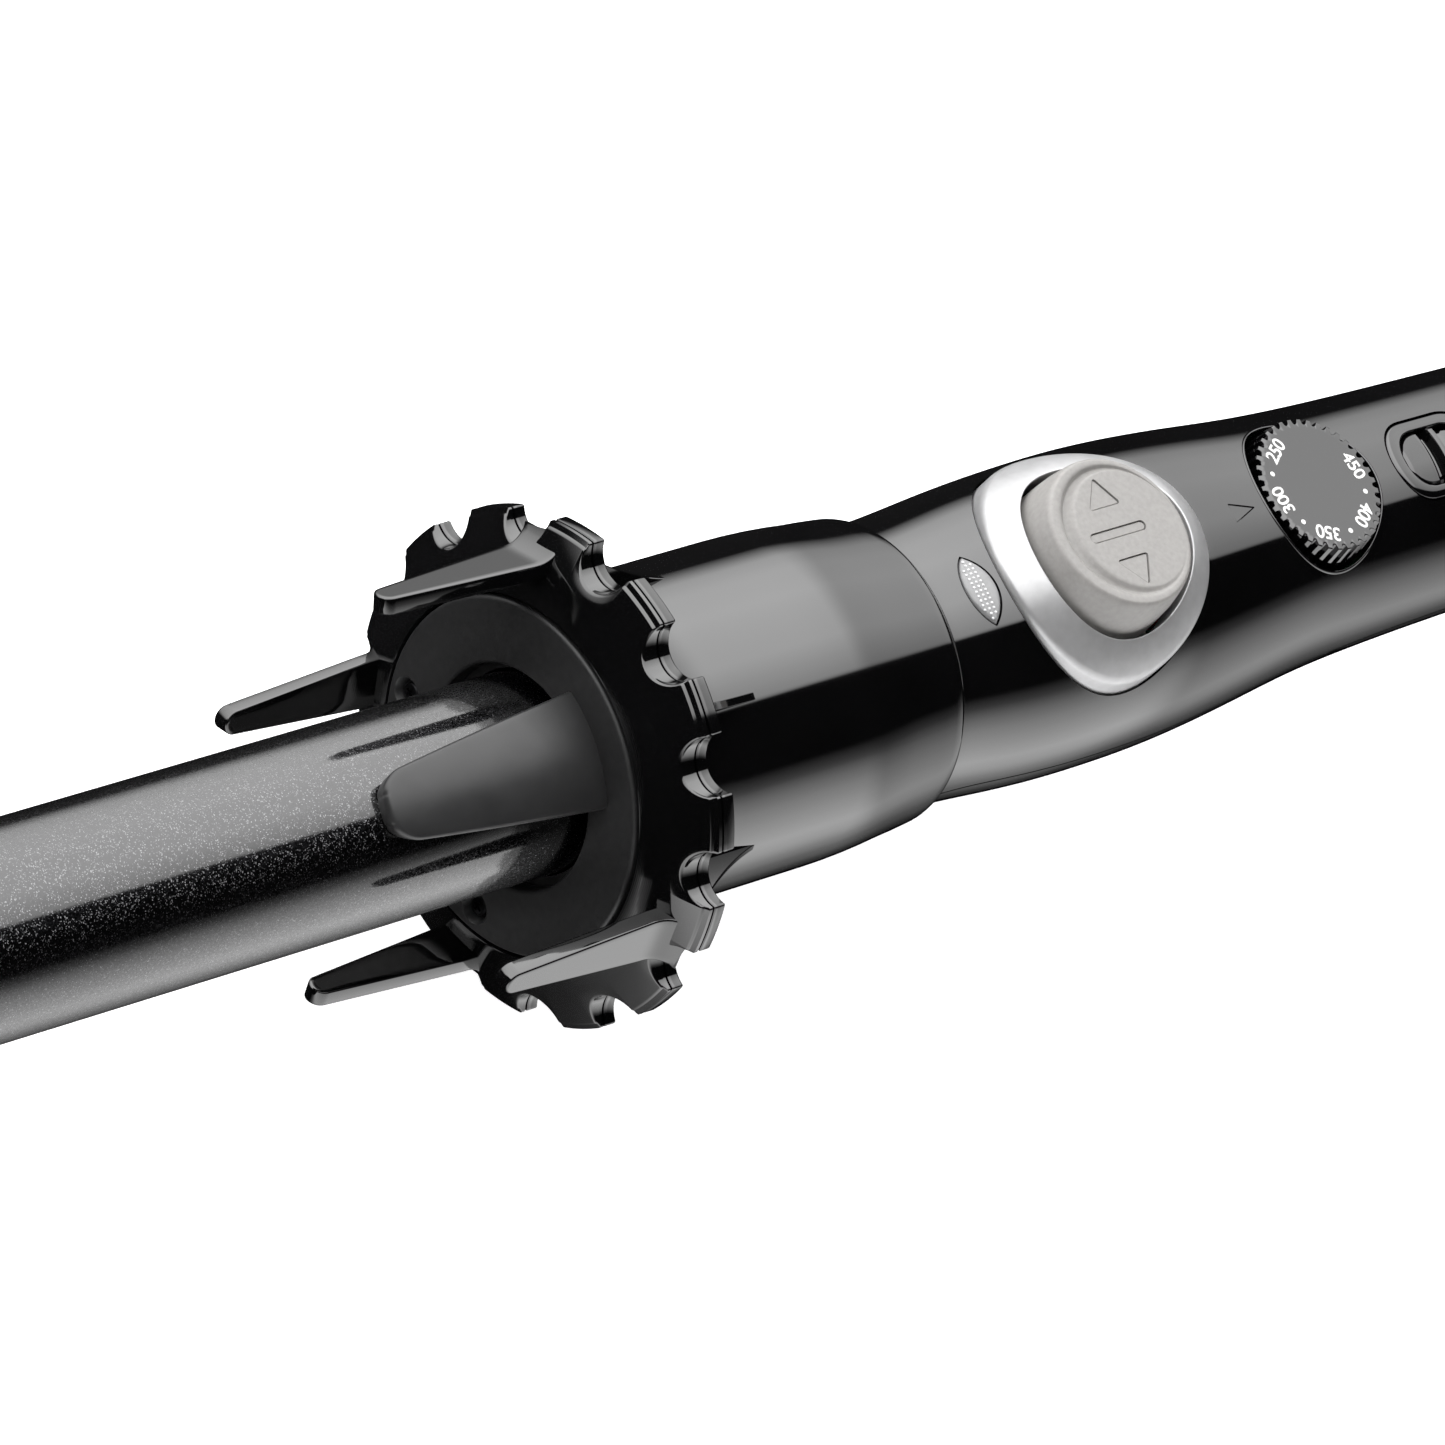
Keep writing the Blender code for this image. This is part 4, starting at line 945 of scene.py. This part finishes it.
def make_screw_well(number, node):
    """The sleeve of the lower shell that a screw head stands in."""
    centre = middle(node)
    wide = half_size(node).x + GAP
    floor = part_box(node)[0].z
    reach = centre.x - DISC
    low = rise(reach) - float(handle_radius(reach)) + 0.0006
    shank = 0.0016
    rings = []
    for radius, z in (
        (wide, low),
        (wide, floor + 0.0018),
        (shank, floor + 0.0018),
        (shank, floor + 0.0030),
        (wide + 0.0009, floor + 0.0030),
        (wide + 0.0009, low),
    ):
        rings.append(level(circle(centre.x, radius, 48), z))
    piece(f"screw_well_{number}", skin(rings, wrap=True), "wand", "gloss_black")


# ---------------------------------------------------------------- controls


def bezel_height(outline, lift):
    """Height of the plated ring, which climbs inwards and is flatter than the handle."""
    x, y = outline[:, 0] - ROCKER, outline[:, 1]
    radius = np.hypot(x, y)
    share = np.clip((BEZEL_RADIUS - radius) / (BEZEL_RADIUS - BEZEL_LIP), 0, 1)
    outer = BEZEL_SADDLE * (y / BEZEL_RADIUS) ** 2
    climb = outer * (1 - share) + BEZEL_CLIMB * share**0.85
    return on_handle(outline[:, 0], y) + BEZEL_PROUD + climb + lift


def make_bezel():
    """A plated ring that stands up from the handle towards its bore."""
    outer_edge, inner_edge = 0.0006, 0.0003
    start, end = BEZEL_RADIUS - outer_edge, BEZEL_LIP + inner_edge
    plan = [(BEZEL_RADIUS, -0.0012), (BEZEL_RADIUS, -outer_edge)]
    plan += [(BEZEL_RADIUS - b, -a) for a, b in rounding(outer_edge, 15, 90, 6)]
    for share in np.linspace(0, 1, 8)[1:-1]:
        plan.append((start + (end - start) * share, 0.00012 * sin(pi * share)))
    plan += [(BEZEL_LIP + b, -a) for a, b in rounding(inner_edge, 90, 0, 5)]
    rings = [draped(circle(ROCKER, BEZEL_RADIUS, 160), BEZEL_FOOT)]
    for radius, lift in plan:
        outline = circle(ROCKER, radius, 160)
        rings.append(np.column_stack((outline, bezel_height(outline, lift))))
    rings.append(draped(circle(ROCKER, BEZEL_LIP, 160), BEZEL_FOOT))
    form = skin(rings, wrap=True)
    piece("bezel_skin", form, "wand", "satin_chrome", ["button_bezel"], angle=40)


def rocker_marks():
    """Outlines of the two arrows and of the bar between them."""
    centre = ROCKER + MARK_SHIFT
    left, right, peak = -0.0037, 0.0020, -0.0004
    low, high = 0.00355, 0.0078
    up = [(left, low), (right, low), (peak, high)]
    down = [(x, -y) for x, y in reversed(up)]
    marks = [rounded_polygon(shape, 0.00045) + (centre, 0) for shape in (up, down)]
    return marks + [oval(0.0096, 0.0014, 10) + (centre - 0.0009, 0)]


def make_rocker():
    """A round button whose top has a crescent-shaped valley beside a pad with two arrows."""
    count = 160
    turns = np.linspace(0, 2 * pi, count, endpoint=False)
    skirt = BEZEL_LIP - 0.00065
    rings = [level(circle(ROCKER, ROCKER_HOLLOW, count), ROCKER_UNDERSIDE)]
    for radius, drop in ((skirt - 0.0006, 0.0036), (skirt, 0.0035), (skirt, 0.0030)):
        low = bezel_height(circle(ROCKER, BEZEL_LIP, count), -drop)
        rings.append(np.column_stack((circle(ROCKER, radius, count), low)))
    lip = bezel_height(circle(ROCKER, BEZEL_LIP, count), -0.0015)
    shoulder = SHOULDER_RADIUS
    for radius, share in (
        (skirt - 0.00004, 0.0),
        (skirt - 0.00014, 0.22),
        (shoulder + 0.00040, 0.45),
        (shoulder + 0.00020, 0.65),
        (shoulder + 0.00006, 0.78),
    ):
        height = lip * (1 - share) + (ROCKER_TOP - 0.0002) * share
        rings.append(np.column_stack((circle(ROCKER, radius, count), height)))
    edge = 0.0007
    last = lip * 0.22 + (ROCKER_TOP - 0.0002) * 0.78
    start = np.maximum(ROCKER_TOP - last, edge)
    for a, b in rounding(1, 20, 90, 7):
        outline = circle(ROCKER, shoulder - edge * b, count)
        rings.append(np.column_stack((outline, ROCKER_TOP - start * a)))
    away = ((1 - np.cos(turns - radians(VALLEY_TURN))) / 2) ** 1.4
    outer = circle(ROCKER, shoulder - edge, count)
    pad = circle(ROCKER + PAD_OFFSET, PAD_RADIUS - 0.0003, count)
    for share, depth in (
        (0.20, 0.0),
        (0.34, 0.03),
        (0.44, 0.22),
        (0.52, 0.66),
        (0.58, 0.92),
        (0.64, 1.0),
        (0.72, 0.90),
        (0.82, 0.55),
        (0.92, 0.18),
        (1.00, 0.02),
        (1.10, 0.0),
    ):
        outline = outer * (1 - share) + pad * share
        height = ROCKER_TOP - VALLEY_DEPTH * depth * away
        rings.append(np.column_stack((outline, height)))
    for radius in (0.0055, 0.0030, 0.00001):
        rings.append(level(circle(ROCKER + PAD_OFFSET, radius, count), ROCKER_TOP))
    body = add_object("rocker_skin", skin(rings), 40)
    marks = rocker_marks()
    low, high = ROCKER_TOP - MARK_DEPTH, ROCKER_TOP + 0.001
    cut(body, *[skin([level(outline, low), level(outline, high)]) for outline in marks])
    dress(body, "direction_rocker", "satin_silver", ["direction_rocker"])
    for number, outline in enumerate(marks, 1):
        rings = []
        for gap, depth in ((0.00012, 0.00065), (0.00012, 0.00024), (0.00020, 0.00016)):
            rings.append(level(inset_plan(outline, gap), ROCKER_TOP - depth))
        piece(f"rocker_mark_{number}", skin(rings), "direction_rocker", "satin_silver", angle=40)


def make_lens():
    """A clear pointed window with rows of small domes."""
    plan = lens_outline(0)
    core = np.column_stack((np.full(len(plan), LENS), np.clip(plan[:, 1], -0.0040, 0.0040)))
    edge = 0.0004
    rings = [draped(plan, -0.0018), draped(plan, -0.0001)]
    rings += [draped(inset_plan(plan, b), 0.6 * edge - a) for a, b in rounding(edge, 0, 90, 5)]
    inner = inset_plan(plan, edge)
    for share in (0.75, 0.5, 0.25, 0.0):
        rings.append(draped(core + (inner - core) * share, LENS_PROUD))
    form = skin(rings, last=False)
    piece("lens_skin", form, "wand", "clear_lens", ["indicator_lens"], angle=50)

    form = bmesh.new()
    rows, pitch = 14, 0.00062
    dome = Matrix.Diagonal((0.00021, 0.00018, 0.00012, 1))
    for column in (-1, 0, 1):
        for row in range(rows):
            y = (row - (rows - 1) / 2) * pitch
            x = LENS - 0.0004 + column * 0.00075
            room = LENS_HALF_WIDTH * (1 - (abs(y) / LENS_HALF_LENGTH) ** 2) - 0.0004
            if abs(x + 0.0003 - LENS) > room:
                continue
            place = Matrix.Translation((x, y, float(on_handle(x, y, LENS_PROUD)))) @ dome
            bmesh.ops.create_icosphere(form, subdivisions=2, radius=1, matrix=place)
    piece("lens_dots", form, "wand", "clear_lens", look="lens_dots", angle=60)


def dial_outline(radius):
    """The knob's fluted outline, with round-bottomed notches between its ribs."""
    per_rib = 16
    count = DIAL_RIBS * per_rib
    points = []
    for i in range(count):
        share = (i % per_rib) / per_rib - 0.5
        reach = min(abs(share) / 0.29, 1)
        depth = RIB_DEPTH * 0.8 * sqrt(max(1 - reach**2, 0)) ** 0.8
        angle = 2 * pi * i / count
        points.append(((radius - depth) * cos(angle), (radius - depth) * sin(angle)))
    return np.array(points)


def make_dial():
    top_radius = DIAL_RADIUS - DIAL_TAPER
    top = dial_outline(top_radius)
    base = dial_outline(DIAL_RADIUS)
    centre = (DIAL, 0)
    rings = []
    for radius in (0.00001, 0.0030, 0.0060, 0.0082):
        rings.append(level(at_radius(top, radius) + centre, DIAL_TOP))
    for shrink, depth in rounding(0.00022, 0, 90, 5):
        rings.append(level(top * (1 - shrink / top_radius) + centre, DIAL_TOP - depth))
    rings.append(level(base + centre, DIAL_BASE))
    rings.append(level(at_radius(base, 0.0036) + centre, DIAL_BASE))
    knob = "temperature_dial"
    piece("dial_knob_skin", skin(rings), knob, "gloss_black", [knob], angle=34)

    for index, label in enumerate(("250", "300", "350", "400", "450")):
        place_label(label, NUMBER_START + index * NUMBER_STEP, NUMBER_RADIUS)
    form = bmesh.new()
    for index in range(4):
        angle = radians(NUMBER_START + (index + 0.5) * NUMBER_STEP)
        spot = Vector((DIAL + DOT_RADIUS * cos(angle), DOT_RADIUS * sin(angle), DIAL_TOP))
        shape = {"segments": 24, "radius1": 0.00038, "radius2": 0.00034, "depth": 0.00006}
        bmesh.ops.create_cone(form, cap_ends=True, matrix=Matrix.Translation(spot), **shape)
    piece("dial_dots", form, knob, "gloss_black", look="white_print")


def place_label(label, degrees, radius):
    """A printed number on the knob, its head pointing outwards."""
    text = bpy.data.curves.new("print_" + label, "FONT")
    text.body = label
    text.size = NUMBER_SIZE
    text.align_x = "CENTER"
    text.align_y = "CENTER"
    text.extrude = 0.00003
    text.offset = 0.00005
    text.space_character = 0.95
    angle = radians(degrees)
    spot = Vector((DIAL + radius * cos(angle), radius * sin(angle), DIAL_TOP))
    guide = bpy.data.objects.new("guide_" + label, text)
    bpy.context.scene.collection.objects.link(guide)
    bpy.context.view_layer.update()
    graph = bpy.context.evaluated_depsgraph_get()
    mesh = bpy.data.meshes.new_from_object(guide.evaluated_get(graph))
    bpy.data.objects.remove(guide)
    mesh.transform(Matrix.Translation(spot) @ Matrix.Rotation(angle - pi / 2, 4, "Z"))
    body = bpy.data.objects.new("dial_number_" + label, mesh)
    bpy.context.scene.collection.objects.link(body)
    dress(body, "temperature_dial", "gloss_black", look="white_print")


def make_dial_rim():
    """A fine raised lip round the knob's opening."""
    rings = []
    middle_radius = DIAL_RADIUS + GAP + 0.00018
    for turn in np.radians(np.linspace(0, 360, 10, endpoint=False)):
        radius = middle_radius + 0.00018 * cos(turn)
        rings.append(draped(circle(DIAL, radius, 128), 0.00012 * sin(turn)))
    piece("dial_rim", skin(rings, wrap=True), "wand", "gloss_black", angle=60)


def make_power_switch():
    outer = oval(POWER_LENGTH, POWER_WIDTH) + (POWER, 0)
    inner = oval(POWER_OPENING_LENGTH, POWER_OPENING_WIDTH) + (POWER, 0)
    soft = 0.00025
    rings = [draped(outer, -0.0028), draped(outer, -soft)]
    rings += [draped(inset_plan(outer, b), -a) for a, b in rounding(soft, 30, 90, 3)]
    rings += [draped(inset_plan(inner, -b), -a) for a, b in rounding(soft, 90, 30, 3)]
    rings += [draped(inner, -soft), draped(inner, -0.0028)]
    form = skin(rings, wrap=True)
    piece("switch_bezel_skin", form, "wand", "gloss_black", ["switch_bezel"], angle=50)

    half, side = half_size("power_rocker").x, half_size("power_rocker").y
    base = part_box("power_rocker")[0].z
    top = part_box("power_rocker")[1].z
    surface = float(on_handle(POWER, 0))
    heights = [
        (-half, surface - 0.0009),
        (-half + 0.0002, surface - 0.0005),
        (-half + 0.0006, surface - 0.0002),
        (-0.0019, surface - 0.0001),
        (-0.0017, surface - 0.0002),
        (-0.0016, surface - 0.0012),
        (-0.0007, surface - 0.0016),
        (-0.0003, surface - 0.0012),
        (0.0001, top - 0.0002),
        (0.0004, top - 0.00004),
        (0.0008, top - 0.0001),
        (0.0011, surface - 0.0003),
        (0.0014, surface - 0.0012),
        (0.0022, surface - 0.0015),
        (0.0034, surface - 0.0013),
        (0.0046, surface - 0.0007),
        (half - 0.0006, surface - 0.0003),
        (half - 0.0002, surface - 0.0005),
        (half, surface - 0.0009),
    ]
    stations = []
    for (x0, z0), (x1, z1) in zip(heights, heights[1:]):
        for t in np.linspace(0, 1, 6, endpoint=False):
            stations.append((x0 + (x1 - x0) * t, z0 + (z1 - z0) * t))
    stations.append(heights[-1])
    rings = []
    for x, z in stations:
        over = max(abs(x) - (half - side), 0)
        wide = sqrt(max(side**2 - over**2, 0)) + 0.00002
        soft = min(0.0003, wide * 0.4)
        across_top = np.linspace(-wide + soft, wide - soft, 9)
        arch = 0.0006 * (1 - (across_top / side) ** 2) - 0.0006
        ring = [(-wide, base), (-wide, z - 0.0006 - soft)]
        ring += [(v, z + lift) for v, lift in zip(across_top, arch)]
        ring += [(wide, z - 0.0006 - soft), (wide, base)]
        rings.append(np.array([(POWER + x, v, w) for v, w in ring]))
    node, form = "power_rocker", skin(rings)
    piece("power_rocker_skin", form, node, "matte_black", [node], "gloss_black", 34)


def inset_plan(outline, depth):
    return outline - outward(outline) * depth


def make_swivel():
    end = HANDLE_END
    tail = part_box("cord_swivel")[1].x
    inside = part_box("cord_swivel")[0].x
    collar = half_size("cord_swivel").y
    radius, tip = SWIVEL_NECK, 0.0052
    wall = end - 0.0035 - GAP
    profile = [(inside, SWIVEL_BORE), (inside, collar - 0.0004), (inside + 0.0004, collar)]
    profile += [(wall, collar), (wall, radius), (end + 0.0008, radius)]
    profile += [(end + 0.0012, radius - 0.0002), (end + 0.0030, 0.0067)]
    for start in (0.0042, 0.0060, 0.0078):
        share = (start - 0.0030) / (0.0100 - 0.0030)
        wide = 0.0067 + (tip - 0.0067) * share
        profile += [(end + start - 0.0004, wide), (end + start - 0.0002, wide - 0.0005)]
        profile += [(end + start + 0.0003, wide - 0.0006), (end + start + 0.0005, wide - 0.0001)]
    profile += [(tail - 0.0004, tip), (tail, tip - 0.0004), (tail, SWIVEL_BORE + 0.0003)]
    profile += [(tail - 0.0003, SWIVEL_BORE)]
    form = turned(profile, 96, HANDLE_RISE, wrap=True)
    piece("cord_swivel_skin", form, "cord_swivel", "matte_black", ["cord_swivel"])


# ---------------------------------------------------------------- inner parts


def dress_inner_parts():
    """The parts inside keep their CAD shapes and get full materials and soft edges."""
    slots = {part["node"]: part["material_slot"] for part in frame["record"]["subparts"]}
    for name, node in frame["nodes"].items():
        if node.hide_render:
            continue
        node.data.materials.clear()
        node.data.materials.append(LOOKS[slots[name]].material)
        edges = node.modifiers.new("Rounded edges", "BEVEL")
        edges.width = 0.00015
        edges.segments = 2
        edges.limit_method = "ANGLE"
        edges.angle_limit = radians(40)
        edges.harden_normals = False


# ---------------------------------------------------------------- studio


TENT_RADIUS = 1.3
TENT_FADE = (1.31, 1.46)
TENT_BRIGHTNESS = (  # degrees from +Z towards +Y, radiance
    (-180, 0.004),
    (-168, 0.10),
    (-153, 0.40),
    (-143, 0.85),
    (-133, 1.55),
    (-123, 2.05),
    (-113, 1.95),
    (-103, 1.75),
    (-93, 1.45),
    (-83, 0.95),
    (-73, 0.28),
    (-64, 0.004),
    (-16.5, 0.004),
    (-15.0, 1.85),
    (-3, 2.35),
    (12, 2.95),
    (50, 3.05),
    (72, 2.55),
    (87, 1.85),
    (96, 0.75),
    (103, 0.02),
    (180, 0.004),
)


def make_tent():
    """Soft light from a long curved diffuser that runs along the wand."""
    steps = 180
    angles = np.linspace(0, 2 * pi, steps, endpoint=False)
    y, z = TENT_RADIUS * np.sin(angles), TENT_RADIUS * np.cos(angles)
    rings = [np.column_stack((np.full(steps, x), y, z)) for x in np.linspace(-2.0, 2.8, 9)]
    tent = add_object("light_tent", skin(rings, first=False, last=False))
    light = bpy.data.materials.new("tent_light")
    graph = Graph(light)
    graph.tree.nodes.clear()
    glow = graph.add("ShaderNodeEmission")
    axes = graph.axes()
    peak = max(value for _, value in TENT_BRIGHTNESS)
    ramp = graph.add("ShaderNodeValToRGB")
    ramp.color_ramp.interpolation = "LINEAR"
    stops = ramp.color_ramp.elements
    while len(stops) < len(TENT_BRIGHTNESS):
        stops.new(0.5)
    for stop, (degrees, value) in zip(stops, TENT_BRIGHTNESS):
        stop.position = (degrees + 180) / 360
        stop.color = (value / peak, value / peak, value / peak, 1)
    turn = graph.math("ARCTAN2", axes["Y"], axes["Z"])
    graph.link(graph.ramp(turn, 0, 1, -pi, pi), ramp.inputs["Fac"])
    near, far = TENT_FADE
    fade = graph.ramp(axes["X"], peak, peak * 0.62, near, far, interpolation_type="SMOOTHSTEP")
    graph.link(ramp.outputs["Color"], glow.inputs["Color"])
    graph.link(fade, glow.inputs["Strength"])
    out = graph.add("ShaderNodeOutputMaterial")
    graph.link(glow.outputs[0], out.inputs["Surface"])
    tent.data.materials.append(light)
    tent.visible_camera = False
    tent.visible_shadow = False


def make_floor():
    low = -RING_RADIUS - 0.0012
    form = bmesh.new()
    bmesh.ops.create_grid(form, x_segments=2, y_segments=2, size=1.0)
    form.transform(Matrix.Translation((0.2, 0, low)) @ Matrix.Diagonal((6, 6, 1, 1)))
    floor = add_object("studio_floor", form)
    paper = Look("floor_paper", (0.85, 0.85, 0.85), 0.9)
    paper.set("Emission Color", (1, 1, 1, 1))
    paper.set("Emission Strength", 0.85)
    paper.set("Specular IOR Level", 0.0)
    paper.mottle(3, 0.01)
    floor.data.materials.append(paper.material)
    floor.visible_glossy = False


def make_world():
    """Pale to the camera, and dark in reflections."""
    world = bpy.data.worlds.new("studio")
    bpy.context.scene.world = world
    graph = Graph(world)
    seen = graph.tree.nodes["Background"]
    seen.inputs["Color"].default_value = (0.93, 0.93, 0.93, 1)
    dark = graph.add("ShaderNodeBackground")
    dark.inputs["Color"].default_value = (0.004, 0.004, 0.004, 1)
    mix = graph.add("ShaderNodeMixShader")
    graph.link(graph.add("ShaderNodeLightPath").outputs["Is Camera Ray"], mix.inputs[0])
    graph.link(dark.outputs[0], mix.inputs[1])
    graph.link(seen.outputs[0], mix.inputs[2])
    graph.link(mix.outputs[0], graph.tree.nodes["World Output"].inputs["Surface"])


def make_camera():
    data = bpy.data.cameras.new("camera")
    data.sensor_width = 36
    data.lens = 254.9
    data.clip_start = 0.01
    data.clip_end = 100
    camera = bpy.data.objects.new("camera", data)
    bpy.context.scene.collection.objects.link(camera)
    right = Vector((0.727952, -0.460473, 0.507986))
    up = Vector((0.219518, 0.858436, 0.463572))
    back = Vector((-0.649536, -0.225946, 0.725983))
    turn = Matrix((right, up, back)).transposed().to_4x4()
    camera.matrix_world = Matrix.Translation((-0.642009, -0.285343, 0.913029)) @ turn
    bpy.context.scene.camera = camera
    bpy.context.scene.view_settings.view_transform = "Standard"


make_camera()
make_barrel()
make_disc()
make_finger()
make_ring()
make_sleeve()
for number, angle in enumerate(PRONG_ANGLES, 1):
    make_prong(number, angle)
for number, angle in enumerate(GUSSET_ANGLES, 1):
    make_gusset(number, angle)
make_handle()
make_bezel()
make_rocker()
make_lens()
make_dial()
make_dial_rim()
make_power_switch()
make_swivel()
dress_inner_parts()
make_tent()
make_floor()
make_world()

bpy.context.view_layer.update()
